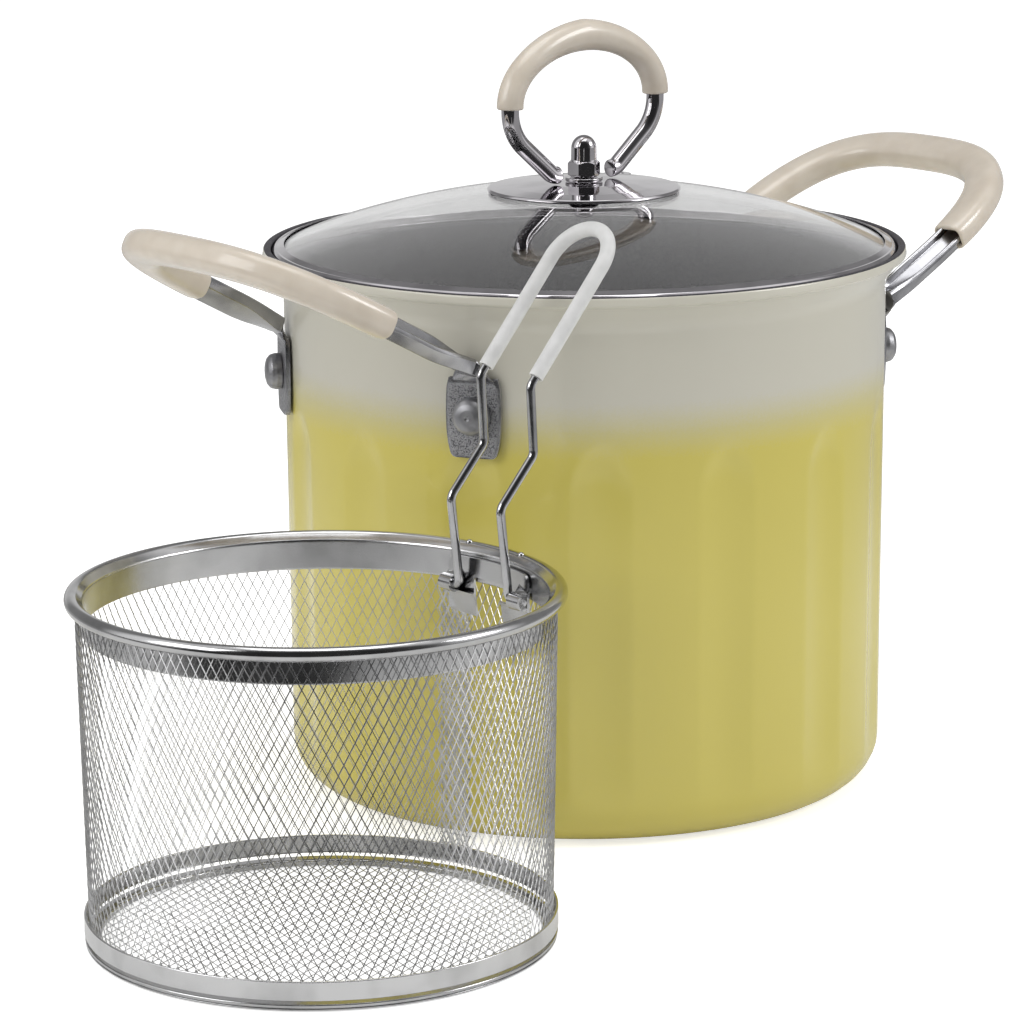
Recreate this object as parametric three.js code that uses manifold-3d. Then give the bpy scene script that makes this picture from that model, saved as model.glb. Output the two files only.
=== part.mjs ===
// Deep fryer pot: a fluted pot with two side handles, a glass lid and a wire basket.
// Lengths are in millimetres; +Z is up, the pot handles lie along X and the pot stands on Z = 0.
import * as THREE from "three";
import { mergeVertices } from "three/addons/utils/BufferGeometryUtils.js";
import Module from "manifold-3d";

const wasm = await Module();
wasm.setup();

// Pieces that touch stand this far apart
const REST_GAP = 0.3;
const CUT_OVERRUN = 2;

// Pot
const POT_HEIGHT = 185;
const RIM_RADIUS = 110;
const WALL_RADIUS_TOP = 103;
const WALL_TAPER = 1;
const CORNER_RADIUS = 14;
const WALL_THICKNESS = 2.4;
const FLOOR_THICKNESS = 3;
const RIM_BAND_WIDTH = 3;
const RIM_ROUND = 0.8;
const LIP_HEIGHT = 4.2;
const LIP_UNDERCUT = 1.6;
const FLARE_HEIGHT = 6.5;
const LEDGE_DEPTH = 5;
const LEDGE_ROUND = 1.5;
const FLUTE_COUNT = 15;
const FLUTE_TURN = -8;
const FLUTE_HALF_ANGLE = 5.8;
const FLUTE_FLOOR_ANGLE = 3.2;
const FLUTE_DEPTH = 1.1;
const FLUTE_TOP_DROP = 50;
const FLUTE_ARCH = 10;
const FLUTE_BOTTOM = 9;
const FLUTE_RUN_OUT = 9;
const FLUTE_EDGE_SHARE = 0.65;
const FLUTE_ROW_SHARES = [1.5, 0.98, 0.45, 0];

// Side handles
const EAR_ANGLE = 29;
const EAR_BOTTOM_DROP = 54;
const EAR_TOP_DROP = 25;
const EAR_THICKNESS = 2;
const EAR_WIDTH = 19;
const ARM_WIDTH = 8.8;
const ARM_THICKNESS = 5.2;
const ARM_GROOVE = 1.1;
const ARM_SLOPE = 28;
const ARM_BEND = 6;
const LOOP_STRAIGHT = 20;
const LOOP_REACH = 85;
const LOOP_SQUARENESS = 3;
const GRIP_START = 41;
const GRIP_END_WIDTH = 11.4;
const GRIP_MIDDLE_WIDTH = 14;
const GRIP_END_THICKNESS = 8.6;
const GRIP_MIDDLE_THICKNESS = 10;
const RIVET_DROP = 40;
const RIVET_SHANK = 3;
const RIVET_HEAD = 6.2;
const RIVET_DOME = 5.2;
const RIVET_EDGE = 1.6;
const RIVET_INNER_DOME = 2.6;

// Lid
const RING_RADIUS = 106.5;
const RING_LAP = 3;
const RING_SHEET = 0.7;
const RING_FOLD_ANGLE = 60;
const GLASS_THICKNESS = 3;
const DOME_RISE = 20.5;
const BUTTON_HOLE = 4.2;
const VENT_RADIUS = 3.2;
const VENT_FROM_AXIS = 62;
const VENT_TURN = 38;
const VENT_FLANGE = 5;
const VENT_SHEET = 0.7;
const DISC_RADIUS = 33;
const DISC_SHEET = 1.1;
const BOW_WIRE = 6;
const BOW_FOOT_INNER = 9.5;
const BOW_FOOT_OUTER = 14;
const BOW_HALF_SPAN = 32.6;
const BOW_SPAN_HEIGHT = 19;
const BOW_GRIP_HEIGHT = 28;
const BOW_TOP_HEIGHT = 50.5;
const BOW_FOOT_BEND = 5;
const BOW_SIDE_BEND = 9;
const BOW_SQUARENESS = 2.15;
const LID_GRIP_END = 8.6;
const LID_GRIP_TOP = 10.4;
const NUT_HEX = 5.6;
const NUT_HEX_HEIGHT = 4.6;
const NUT_DOME = 4.1;
const NUT_HEIGHT = 14.6;
const NUT_BORE_HEIGHT = 9;
const NUT_CHAMFER = 0.7;
const NUT_WASHER_RADIUS = 6.4;
const NUT_WASHER_SHEET = 1.2;
const SCREW_RADIUS = 2.9;
const SCREW_HEAD_RADIUS = 6;
const SCREW_HEAD_HEIGHT = 3;
const SEAL_RADIUS = 8.5;
const SEAL_THICKNESS = 1.6;
const SEAL_FALL = 0.26;

// Basket
const BASKET_CLEARANCE = 6.15;
const BASKET_Y = -87;
const BASKET_HEIGHT = 110.5;
const BASKET_RIM_RADIUS = 76.5;
const BAND_SHEET = 0.8;
const BAND_HEIGHT = 12;
const RIM_LIP_HEIGHT = 4.4;
const RIM_ROLL = 2.2;
const MESH_INSET = 2.7;
const MESH_TAPER = 1.9;
const MESH_SHEET = 1;
const MESH_STRAND = 1.7;
const MESH_AROUND = 22;
const MESH_ROWS = 7;
const FOOT_HEIGHT = 2;
const FOOT_LINE = 1.1;
const FOOT_WIDTH = 5;
const FOOT_BAND_HEIGHT = 5.2;
const FOOT_ROUND = 0.7;
const FLOOR_PITCH_X = 18;
const FLOOR_PITCH_Y = 27;

// Basket handle
const HANDLE_TURN = -1;
const HINGE_DROP = 12.5;
const WIRE_RADIUS = 1.45;
const WIRE_HALF_SPACING = 12.3;
const WIRE_BEND = 2.3;
const KINK_BEND = 3.5;
const KINK_LOW = new THREE.Vector2(-3, 29);
const KINK_HIGH = new THREE.Vector2(10.5, 44.3);
const SLEEVE_START = new THREE.Vector2(9.4, 66.3);
const HANDLE_TIP = new THREE.Vector2(46.2, 110);
const SLEEVE_RADIUS = 2.4;
const KNUCKLE_RADIUS = 2.7;
const KNUCKLE_START = 14.9;
const KNUCKLE_END = 18.6;
const WIRE_END = 19.8;
const BRACKET_HALF_WIDTH = 20;
const BRACKET_RISE = 8.5;
const BRACKET_DROP = 8.5;
const BRACKET_SHEET = 0.9;
const BRACKET_CORNER = 2;
const WINDOW_HALF_WIDTH = 9.6;
const WINDOW_RISE = 2.4;
const NUB_RADIUS = 1.3;
const NUB_OFFSET = 3.4;

// Smoothness
const ROUND_SIDES = 36;
const BASKET_SIDES = 48;
const SMALL_SIDES = 12;
const WIRE_SIDES = 8;
const BEND_STEPS = 4;
const LOOP_STEPS = 18;
const EDGE_STEPS = 3;

// Derived sizes
const rad = THREE.MathUtils.degToRad;
const lipRoot = POT_HEIGHT - LIP_HEIGHT;
const flareRoot = lipRoot - FLARE_HEIGHT;
const fluteTop = POT_HEIGHT - FLUTE_TOP_DROP;
const earBottom = POT_HEIGHT - EAR_BOTTOM_DROP;
const earTop = POT_HEIGHT - EAR_TOP_DROP;
const rivetHeight = POT_HEIGHT - RIVET_DROP;
const ledgeHeight = POT_HEIGHT - LEDGE_DEPTH;
const ledgeRadius = RIM_RADIUS - RIM_BAND_WIDTH;
const wallRadiusBottom = WALL_RADIUS_TOP - WALL_TAPER;
const innerTop = WALL_RADIUS_TOP - WALL_THICKNESS;
const innerBottom = wallRadiusBottom - WALL_THICKNESS;
const ringBottom = ledgeHeight + REST_GAP;
const ringTop = ringBottom + GLASS_THICKNESS + 2 * (RING_SHEET + REST_GAP);
const glassEdgeTop = ringTop - RING_SHEET - REST_GAP;
const glassEdgeRadius = RING_RADIUS - RING_SHEET - REST_GAP;
const domeTop = glassEdgeTop + DOME_RISE;
const domeRadius = (glassEdgeRadius ** 2 + DOME_RISE ** 2) / (2 * DOME_RISE);
const discTop = domeTop + REST_GAP + DISC_SHEET;
const sealTop = domeTop - GLASS_THICKNESS - REST_GAP - SEAL_FALL;
const basketRimBottom = BASKET_HEIGHT - BAND_HEIGHT;
const meshBottom = FOOT_HEIGHT + REST_GAP;
const meshTop = BASKET_HEIGHT - RIM_ROLL - REST_GAP;
const meshRadiusTop = BASKET_RIM_RADIUS - MESH_INSET;
const meshRadiusBottom = meshRadiusTop - MESH_TAPER;
const meshFacetFall = meshRadiusTop * (1 - Math.cos(Math.PI / MESH_AROUND));
const rimFacetFall = BASKET_RIM_RADIUS * (1 - Math.cos(Math.PI / BASKET_SIDES));
const bandOuter = meshRadius(basketRimBottom) - MESH_SHEET / 2 - meshFacetFall - REST_GAP;
const bandInner = bandOuter - BAND_SHEET;
const bracketOuter = bandInner - rimFacetFall - REST_GAP;
const hingeRadius = Math.sqrt(bracketOuter ** 2 - KNUCKLE_END ** 2) - KNUCKLE_RADIUS;
const hingeHeight = BASKET_HEIGHT - HINGE_DROP;
const rivetReach = WALL_RADIUS_TOP + EAR_THICKNESS + 2 * REST_GAP + RIVET_DOME;
const leanRatio = (HANDLE_TIP.x - SLEEVE_START.x) / (HANDLE_TIP.y - SLEEVE_START.y);
const leanAtRim = SLEEVE_START.x + (POT_HEIGHT - hingeHeight - SLEEVE_START.y) * leanRatio;
const handleAtRim = hingeRadius + THREE.MathUtils.clamp(leanAtRim, KINK_HIGH.x, HANDLE_TIP.x);
const rimToHandle = RIM_RADIUS + BASKET_CLEARANCE + SLEEVE_RADIUS;
const rivetsToBasket = rivetReach + BASKET_CLEARANCE + BASKET_RIM_RADIUS;
const besideRim = Math.sqrt(rimToHandle ** 2 - (BASKET_Y + WIRE_HALF_SPACING) ** 2) + handleAtRim;
const besideRivets = Math.sqrt(rivetsToBasket ** 2 - BASKET_Y ** 2);
const basketX = -Math.max(besideRim, besideRivets);

// Shared helpers

/** Returns plain triangles: positions only, equal corners joined, flat ones dropped, facing out. */
function tidy(source) {
  const bare = new THREE.BufferGeometry();
  bare.setAttribute("position", source.getAttribute("position").clone());
  if (source.index) {
    bare.setIndex(source.index.clone());
  }
  const joined = mergeVertices(bare);
  const index = joined.index.array;
  const place = joined.getAttribute("position");
  const kept = [];
  const a = new THREE.Vector3();
  const b = new THREE.Vector3();
  const c = new THREE.Vector3();
  let volume = 0;
  for (let i = 0; i < index.length; i += 3) {
    const [p, q, r] = [index[i], index[i + 1], index[i + 2]];
    if (p !== q && q !== r && r !== p) {
      kept.push(p, q, r);
      a.fromBufferAttribute(place, p);
      b.fromBufferAttribute(place, q);
      c.fromBufferAttribute(place, r);
      volume += a.dot(b.cross(c));
    }
  }
  if (volume < 0) {
    kept.reverse();
  }
  joined.setIndex(kept);
  return joined;
}

/** Turns triangles into a solid that can be cut and joined. */
function solid(geometry) {
  const plain = tidy(geometry);
  const mesh = new wasm.Mesh({
    numProp: 3,
    vertProperties: new Float32Array(plain.getAttribute("position").array),
    triVerts: new Uint32Array(plain.index.array),
  });
  return new wasm.Manifold(mesh);
}

/** Turns a solid back into triangles. */
function surface(body) {
  const mesh = body.getMesh();
  const geometry = new THREE.BufferGeometry();
  const place = new Float32Array((mesh.vertProperties.length / mesh.numProp) * 3);
  for (let i = 0; i < place.length / 3; i += 1) {
    for (let k = 0; k < 3; k += 1) {
      place[i * 3 + k] = mesh.vertProperties[i * mesh.numProp + k];
    }
  }
  geometry.setAttribute("position", new THREE.BufferAttribute(place, 3));
  geometry.setIndex(Array.from(mesh.triVerts));
  return tidy(geometry);
}

/** Joins rings of points into a skin that closes on its first ring, or has both ends capped. */
function skin(rings, closed) {
  const sides = rings[0].length;
  const points = rings.flat();
  const index = [];
  const last = closed ? rings.length : rings.length - 1;
  for (let r = 0; r < last; r += 1) {
    const here = r * sides;
    const next = ((r + 1) % rings.length) * sides;
    for (let s = 0; s < sides; s += 1) {
      const t = (s + 1) % sides;
      index.push(here + s, here + t, next + t, here + s, next + t, next + s);
    }
  }
  if (!closed) {
    const ends = [[0, rings[0], true], [(rings.length - 1) * sides, rings.at(-1), false]];
    for (const [start, ring, flip] of ends) {
      const middle = ring.reduce((sum, p) => sum.add(p), new THREE.Vector3()).divideScalar(sides);
      points.push(middle);
      for (let s = 0; s < sides; s += 1) {
        const t = (s + 1) % sides;
        index.push(...(flip ? [start + t, start + s] : [start + s, start + t]), points.length - 1);
      }
    }
  }
  const geometry = new THREE.BufferGeometry().setFromPoints(points);
  geometry.setIndex(index);
  return tidy(geometry);
}

/** Revolves a profile of [radius, height] pairs about Z; a ring profile closes on itself. */
function revolve(profile, sides, ring = false) {
  const points = profile.map(([r, z]) => new THREE.Vector2(r, z));
  if (ring) {
    points.push(points[0].clone());
  }
  return tidy(new THREE.LatheGeometry(points, sides).rotateX(Math.PI / 2));
}

/** Points of an arc about (x, y), angles in degrees. */
function arc(x, y, radius, from, to, steps) {
  return Array.from({ length: steps + 1 }, (_, i) => {
    const angle = rad(from + ((to - from) * i) / steps);
    return [x + radius * Math.cos(angle), y + radius * Math.sin(angle)];
  });
}

/** Replaces the inner corners of a line of points by arcs of the given radius. */
function rounded(points, radius, steps = BEND_STEPS) {
  const line = [points[0]];
  for (let i = 1; i < points.length - 1; i += 1) {
    const corner = points[i];
    const back = points[i - 1].clone().sub(corner).normalize();
    const onward = points[i + 1].clone().sub(corner).normalize();
    const half = back.angleTo(onward) / 2;
    const centre = back.clone().add(onward).normalize().multiplyScalar(radius / Math.sin(half)).add(corner);
    const start = back.multiplyScalar(radius / Math.tan(half)).add(corner).sub(centre);
    const end = onward.multiplyScalar(radius / Math.tan(half)).add(corner).sub(centre);
    const axis = start.clone().cross(end).normalize();
    const sweep = start.angleTo(end);
    for (let k = 0; k <= steps; k += 1) {
      line.push(start.clone().applyAxisAngle(axis, (sweep * k) / steps).add(centre));
    }
  }
  line.push(points.at(-1));
  return line;
}

/** A path with one station at each of its points. */
class Track extends THREE.Curve {
  constructor(points) {
    super();
    this.points = points;
  }

  getPoint(share, target = new THREE.Vector3()) {
    const last = this.points.length - 1;
    const place = share * last;
    const start = Math.min(Math.floor(place), last - 1);
    return target.lerpVectors(this.points[start], this.points[start + 1], place - start);
  }

  getPointAt(share, target) {
    return this.getPoint(share, target);
  }

  getTangentAt(share, target = new THREE.Vector3()) {
    const last = this.points.length - 1;
    const place = Math.round(share * last);
    const before = this.points[Math.max(place - 1, 0)];
    const after = this.points[Math.min(place + 1, last)];
    return target.subVectors(after, before).normalize();
  }
}

/** Corners of a regular polygon that lies inside a circle. */
function roundSection(radius, sides) {
  return arc(0, 0, radius, 0, 360, sides).slice(0, sides).map(([x, y]) => new THREE.Vector2(x, y));
}

/** A round bar, or a sleeve when it has a bore, along a line of points. */
function tube(points, radius, sides, bore = 0) {
  const shape = new THREE.Shape(roundSection(radius, sides));
  if (bore) {
    shape.holes.push(new THREE.Path(roundSection(bore, sides)));
  }
  const track = new Track(points);
  const settings = { steps: points.length - 1, bevelEnabled: false, extrudePath: track, curveSegments: 1 };
  return tidy(new THREE.ExtrudeGeometry(shape, settings));
}

/** A flat shape of [x, y] corners given a thickness along +Z, with holes of the same kind. */
function plate(outline, thickness, holes = []) {
  const shape = new THREE.Shape(outline.map(([x, y]) => new THREE.Vector2(x, y)));
  for (const hole of holes) {
    shape.holes.push(new THREE.Path(hole.map(([x, y]) => new THREE.Vector2(x, y))));
  }
  return tidy(new THREE.ExtrudeGeometry(shape, { depth: thickness, bevelEnabled: false, curveSegments: 1 }));
}

/** A cylinder about Z from one height to another. */
function cylinder(radius, from, to, sides) {
  return revolve([[0, from], [radius, from], [radius, to], [0, to]], sides);
}

/** Stands a piece built about Z on an axis that points outwards at the given angle and height. */
function pointOutwards(geometry, angle, height) {
  return geometry.rotateY(Math.PI / 2).rotateZ(rad(angle)).translate(0, 0, height);
}

/** Wraps triangles in a named mesh. */
function piece(name, geometry, finish) {
  const flat = geometry.toNonIndexed();
  flat.computeVertexNormals();
  const mesh = new THREE.Mesh(flat, finish);
  mesh.name = name;
  return mesh;
}

/** One finish. */
function finish(color, roughness, metalness) {
  return new THREE.MeshStandardMaterial({ color, roughness, metalness });
}

const enamel = () => finish("#c6bf95", 0.35, 0);
const creamPlastic = () => finish("#e3dbcf", 0.25, 0);
const platedSteel = () => finish("#9a9a9d", 0.35, 1);
const aluminium = () => finish("#a9a9ac", 0.4, 1);
const brightSteel = () => finish("#b9b9bb", 0.2, 1);
const basketSteel = () => finish("#a8a8aa", 0.3, 1);
const meshSteel = () => finish("#9d9d9f", 0.4, 1);
const whiteSilicone = () => finish("#d9d9d7", 0.5, 0);
const sealSilicone = () => finish("#c9c9c6", 0.6, 0);

function clearGlass() {
  const glass = finish("#dfe6e4", 0.05, 0);
  glass.transparent = true;
  glass.opacity = 0.3;
  return glass;
}

// Pot

/** How far the wall is pressed in at an angle from a flute's middle line and a height. */
function fluteDepth(offset, height) {
  const slope = FLUTE_HALF_ANGLE - FLUTE_FLOOR_ANGLE;
  const across = THREE.MathUtils.clamp((FLUTE_HALF_ANGLE - Math.abs(offset)) / slope, 0, 1);
  const top = fluteTop - FLUTE_ARCH * (offset / FLUTE_HALF_ANGLE) ** 2;
  const below = THREE.MathUtils.clamp((top - height) / (FLUTE_ARCH * FLUTE_EDGE_SHARE), 0, 1);
  const above = THREE.MathUtils.clamp((height - FLUTE_BOTTOM) / FLUTE_RUN_OUT, 0, 1);
  return FLUTE_DEPTH * across * below * above;
}

/** Outer and inner profile of the pot, from the middle of its base to the middle of its inner floor. */
function potProfile() {
  const cornerCentre = wallRadiusBottom - CORNER_RADIUS;
  const innerCorner = CORNER_RADIUS - WALL_THICKNESS;
  const fluteRows = FLUTE_ROW_SHARES.map((share) => {
    const height = fluteTop - FLUTE_ARCH * share;
    const up = (height - CORNER_RADIUS) / (flareRoot - CORNER_RADIUS);
    return [THREE.MathUtils.lerp(wallRadiusBottom, WALL_RADIUS_TOP, up), height];
  });
  return [
    ...arc(cornerCentre, CORNER_RADIUS, CORNER_RADIUS, -90, 0, 3),
    [wallRadiusBottom, FLUTE_BOTTOM + FLUTE_RUN_OUT],
    ...fluteRows,
    [WALL_RADIUS_TOP, flareRoot],
    [(WALL_RADIUS_TOP + RIM_RADIUS - LIP_UNDERCUT) / 2, (flareRoot + lipRoot) / 2 - LIP_UNDERCUT / 2],
    [RIM_RADIUS - LIP_UNDERCUT, lipRoot],
    [RIM_RADIUS, lipRoot + RIM_ROUND],
    ...arc(RIM_RADIUS - RIM_ROUND, POT_HEIGHT - RIM_ROUND, RIM_ROUND, 0, 90, 1),
    [ledgeRadius, POT_HEIGHT],
    [ledgeRadius, ledgeHeight],
    ...arc(innerTop + LEDGE_ROUND, ledgeHeight - LEDGE_ROUND, LEDGE_ROUND, 90, 180, 2),
    ...arc(innerBottom - innerCorner, FLOOR_THICKNESS + innerCorner, innerCorner, 0, -90, 2),
  ];
}

/** The pot's shell with its pressed flutes and the four rivet holes. */
function potBody() {
  const cell = 360 / FLUTE_COUNT;
  const floorEdges = [-FLUTE_FLOOR_ANGLE, FLUTE_FLOOR_ANGLE];
  const offsets = [...floorEdges, FLUTE_HALF_ANGLE, cell / 2, cell - FLUTE_HALF_ANGLE];
  const angles = [];
  for (let flute = 0; flute < FLUTE_COUNT; flute += 1) {
    for (const offset of offsets) {
      angles.push([offset, FLUTE_TURN + cell * flute + offset]);
    }
  }
  const profile = potProfile();
  const topRow = profile.findIndex(([, height]) => height >= flareRoot);
  const rings = profile.map(([radius, height], row) =>
    angles.map(([offset, angle]) => {
      const nearest = offset > cell / 2 ? offset - cell : offset;
      const r = radius - (row < topRow ? fluteDepth(nearest, height) : 0);
      return new THREE.Vector3(r * Math.cos(rad(angle)), r * Math.sin(rad(angle)), height);
    }),
  );
  let body = solid(skin(rings, false));
  const bore = RIVET_SHANK + REST_GAP;
  for (const angle of rivetAngles()) {
    const drill = cylinder(bore, innerBottom - CUT_OVERRUN, WALL_RADIUS_TOP + CUT_OVERRUN, SMALL_SIDES);
    body = body.subtract(solid(pointOutwards(drill, angle, rivetHeight)));
  }
  return surface(body);
}

/** Angles of the four rivets about the pot. */
function rivetAngles() {
  return [EAR_ANGLE, -EAR_ANGLE, 180 + EAR_ANGLE, 180 - EAR_ANGLE];
}

const domeShares = [[0.9, 0.42], [0.62, 0.82], [0.3, 0.97], [0, 1]];
const innerDomeShares = [[0, 1], [0.6, 0.8], [1, 0]];

/** A rivet with a domed outer head, a shank and a low inner head. */
function rivet(angle) {
  const inside = innerBottom - REST_GAP;
  const outside = WALL_RADIUS_TOP + REST_GAP + EAR_THICKNESS + REST_GAP;
  const edge = outside + RIVET_EDGE;
  const profile = [
    ...innerDomeShares.map(([across, up]) => [RIVET_HEAD * across, inside - RIVET_INNER_DOME * up]),
    [RIVET_SHANK, inside],
    [RIVET_SHANK, outside],
    [RIVET_HEAD, outside],
    [RIVET_HEAD, edge],
    ...domeShares.map(([across, up]) => [RIVET_HEAD * across, edge + (RIVET_DOME - RIVET_EDGE) * up]),
  ];
  return pointOutwards(revolve(profile, SMALL_SIDES), angle, rivetHeight);
}

// Side handles

/** A point of the sloping plane of a side handle: a along the slope from the ears, s to the side. */
function onSlope(a, s) {
  const wall = WALL_RADIUS_TOP + REST_GAP + EAR_THICKNESS / 2;
  const out = wall * Math.cos(rad(EAR_ANGLE)) + a * Math.cos(rad(ARM_SLOPE));
  return new THREE.Vector3(out, s, earTop + a * Math.sin(rad(ARM_SLOPE)));
}

/** Half the side distance between the two ears of one handle. */
function earSide() {
  return (WALL_RADIUS_TOP + REST_GAP + EAR_THICKNESS / 2) * Math.sin(rad(EAR_ANGLE));
}

/** Centre line of the outer loop of a side handle, from one side to the other. */
function handleLoop() {
  return Array.from({ length: LOOP_STEPS + 1 }, (_, i) => {
    const angle = -Math.PI / 2 + (Math.PI * i) / LOOP_STEPS;
    const side = Math.sign(Math.sin(angle)) * Math.abs(Math.sin(angle)) ** (2 / LOOP_SQUARENESS);
    const along = Math.abs(Math.cos(angle)) ** (2 / LOOP_SQUARENESS);
    return onSlope(LOOP_STRAIGHT + (LOOP_REACH - LOOP_STRAIGHT) * along, earSide() * side);
  });
}

/** A bar along stations that each give a place, a width direction and a section of [across, up] pairs. */
function bar(stations, closed = false) {
  const rings = stations.map(({ place, across, up, section }) =>
    section.map(([x, y]) => place.clone().addScaledVector(across, x).addScaledVector(up, y)),
  );
  return skin(rings, closed);
}

const stripShoulderShare = 0.4;
const stripCrestShare = 0.62;

/** Section of the steel strip: flat below, a groove along its top. */
function stripSection(width, thickness, groove) {
  const w = width / 2;
  const h = thickness / 2;
  const shoulder = h * stripShoulderShare;
  const crest = w * stripCrestShare;
  return [[-w, -h], [w, -h], [w, shoulder], [crest, h], [0, h - groove], [-crest, h], [-w, shoulder]];
}

/** Width shares of the ear from its lower edge to the arm, each at a share of the ear's height. */
const earShares = [[0, 0.72], [0.1, 0.92], [0.45, 1], [0.75, 0.96], [0.93, 0.66]];

/** Stations of one half of the steel loop, from the ear's lower edge to the middle of the loop. */
function handleStations() {
  const slopeUp = new THREE.Vector3(-Math.sin(rad(ARM_SLOPE)), 0, Math.cos(rad(ARM_SLOPE)));
  const outward = new THREE.Vector3(Math.cos(rad(EAR_ANGLE)), Math.sin(rad(EAR_ANGLE)), 0);
  const tangent = new THREE.Vector3(-Math.sin(rad(EAR_ANGLE)), Math.cos(rad(EAR_ANGLE)), 0);
  const foot = onSlope(0, earSide());
  const stations = earShares.map(([rise, width]) => ({
    place: foot.clone().setZ(earBottom + (earTop - earBottom) * rise),
    across: tangent,
    up: outward,
    section: stripSection(EAR_WIDTH * width, EAR_THICKNESS, 0),
  }));
  const corner = [foot.clone().setZ(earBottom), foot, onSlope(LOOP_STRAIGHT, earSide())];
  const bend = rounded(corner, ARM_BEND).slice(1, -1);
  bend.forEach((centre, i) => {
    const share = (i + 1) / bend.length;
    const up = outward.clone().lerp(slopeUp, share).normalize();
    const thickness = THREE.MathUtils.lerp(EAR_THICKNESS, ARM_THICKNESS, share);
    const width = THREE.MathUtils.lerp(EAR_WIDTH * earShares.at(-1)[1], ARM_WIDTH, share);
    const turnedIn = (width / 2) * Math.sin(rad(EAR_ANGLE) * share) * (1 - share);
    const clearance = ((thickness - EAR_THICKNESS) / 2) * (1 - share ** 2) + turnedIn;
    stations.push({
      place: centre.clone().addScaledVector(outward, clearance),
      across: tangent.clone().lerp(new THREE.Vector3(0, 1, 0), share).normalize(),
      up,
      section: stripSection(width, thickness, ARM_GROOVE * share),
    });
  });
  const loop = handleLoop().reverse();
  const half = Math.floor(loop.length / 2);
  for (let i = 0; i <= half; i += 1) {
    stations.push({
      place: loop[i],
      across: new THREE.Vector3().crossVectors(slopeUp, directionAt(loop, i)).normalize(),
      up: slopeUp,
      section: stripSection(ARM_WIDTH, ARM_THICKNESS, ARM_GROOVE),
    });
  }
  return stations;
}

/** Mirrors stations across the plane through the handle's middle and joins both halves. */
function bothHalves(stations) {
  const flip = (v) => new THREE.Vector3(v.x, -v.y, v.z);
  const other = stations.slice(0, -1).reverse().map(({ place, across, up, section }) => ({
    place: flip(place),
    across: flip(across),
    up: flip(up),
    section,
  }));
  return [...stations, ...other];
}

/** The steel loop of one side handle with its two ears, drilled for the rivets. */
function steelHandle(turn) {
  let body = solid(bar(bothHalves(handleStations())));
  const outside = WALL_RADIUS_TOP + REST_GAP + EAR_THICKNESS;
  for (const angle of [EAR_ANGLE, -EAR_ANGLE]) {
    const drill = cylinder(RIVET_SHANK + REST_GAP, WALL_RADIUS_TOP, outside + CUT_OVERRUN, SMALL_SIDES);
    body = body.subtract(solid(pointOutwards(drill, angle, rivetHeight)));
  }
  return surface(body).rotateZ(rad(turn));
}

const gripCornerShare = 0.48;
const boreCornerShare = 0.05;

/** An eight-cornered section with cut corners. */
function gripSection(width, thickness, corner) {
  const w = width / 2;
  const h = thickness / 2;
  const x = w * (1 - corner);
  const y = h * (1 - corner);
  return [[-x, -h], [x, -h], [w, -y], [w, y], [x, h], [-x, h], [-w, y], [-w, -y]];
}

/** Direction of a line of points at one of them. */
function directionAt(points, i) {
  const last = points.length - 1;
  const after = points[Math.min(i + 1, last)];
  const before = points[Math.max(i - 1, 0)];
  return new THREE.Vector3().subVectors(after, before).normalize();
}

/** A hollow grip over the outer arc of a side handle, fuller in its middle. */
function sideGrip(turn) {
  const slopeUp = new THREE.Vector3(-Math.sin(rad(ARM_SLOPE)), 0, Math.cos(rad(ARM_SLOPE)));
  const loop = handleLoop();
  const start = onSlope(GRIP_START, 0).x;
  const inside = loop.map((p, i) => i).filter((i) => loop[i].x > start);
  const end = (i, towards) => {
    const share = (start - loop[i].x) / (loop[towards].x - loop[i].x);
    return loop[i].clone().lerp(loop[towards], share);
  };
  const places = [
    end(inside[0], inside[0] - 1),
    ...inside.map((i) => loop[i]),
    end(inside.at(-1), inside.at(-1) + 1),
  ];
  const middle = (places.length - 1) / 2;
  const outer = [];
  const bore = [];
  places.forEach((place, i) => {
    const across = new THREE.Vector3().crossVectors(directionAt(places, i), slopeUp).normalize();
    const fullness = Math.sqrt(1 - ((i - middle) / middle) ** 2);
    const width = THREE.MathUtils.lerp(GRIP_END_WIDTH, GRIP_MIDDLE_WIDTH, fullness);
    const thickness = THREE.MathUtils.lerp(GRIP_END_THICKNESS, GRIP_MIDDLE_THICKNESS, fullness);
    outer.push({ place, across, up: slopeUp, section: gripSection(width, thickness, gripCornerShare) });
    const opening = gripSection(ARM_WIDTH + 2 * REST_GAP, ARM_THICKNESS + 2 * REST_GAP, boreCornerShare);
    bore.push({ place, across, up: slopeUp, section: opening });
  });
  return bar([...outer, ...bore.reverse()], true).rotateZ(rad(turn));
}

// Lid

/** Height of the dome's upper face at a distance from the axis. */
function domeHeight(radius) {
  return domeTop - domeRadius + Math.sqrt(domeRadius ** 2 - radius ** 2);
}

/** The glass dome with its middle hole and the vent hole. */
function lidGlass() {
  const radiusShares = [0, 0.3, 0.55, 0.75, 0.9, 1];
  const radii = radiusShares.map((share) => THREE.MathUtils.lerp(BUTTON_HOLE, glassEdgeRadius, share));
  const upper = radii.map((r) => [r, domeHeight(r)]);
  const lower = radii.map((r) => [r, domeHeight(r) - GLASS_THICKNESS]).reverse();
  const dome = solid(revolve([...upper, ...lower], ROUND_SIDES, true));
  const under = domeHeight(glassEdgeRadius) - GLASS_THICKNESS;
  const drill = cylinder(VENT_RADIUS, under, domeTop + CUT_OVERRUN, SMALL_SIDES);
  return surface(dome.subtract(solid(drill.translate(...ventPlace()))));
}

/** Where the vent stands, on plan. */
function ventPlace() {
  return [VENT_FROM_AXIS * Math.cos(rad(VENT_TURN)), VENT_FROM_AXIS * Math.sin(rad(VENT_TURN)), 0];
}

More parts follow.
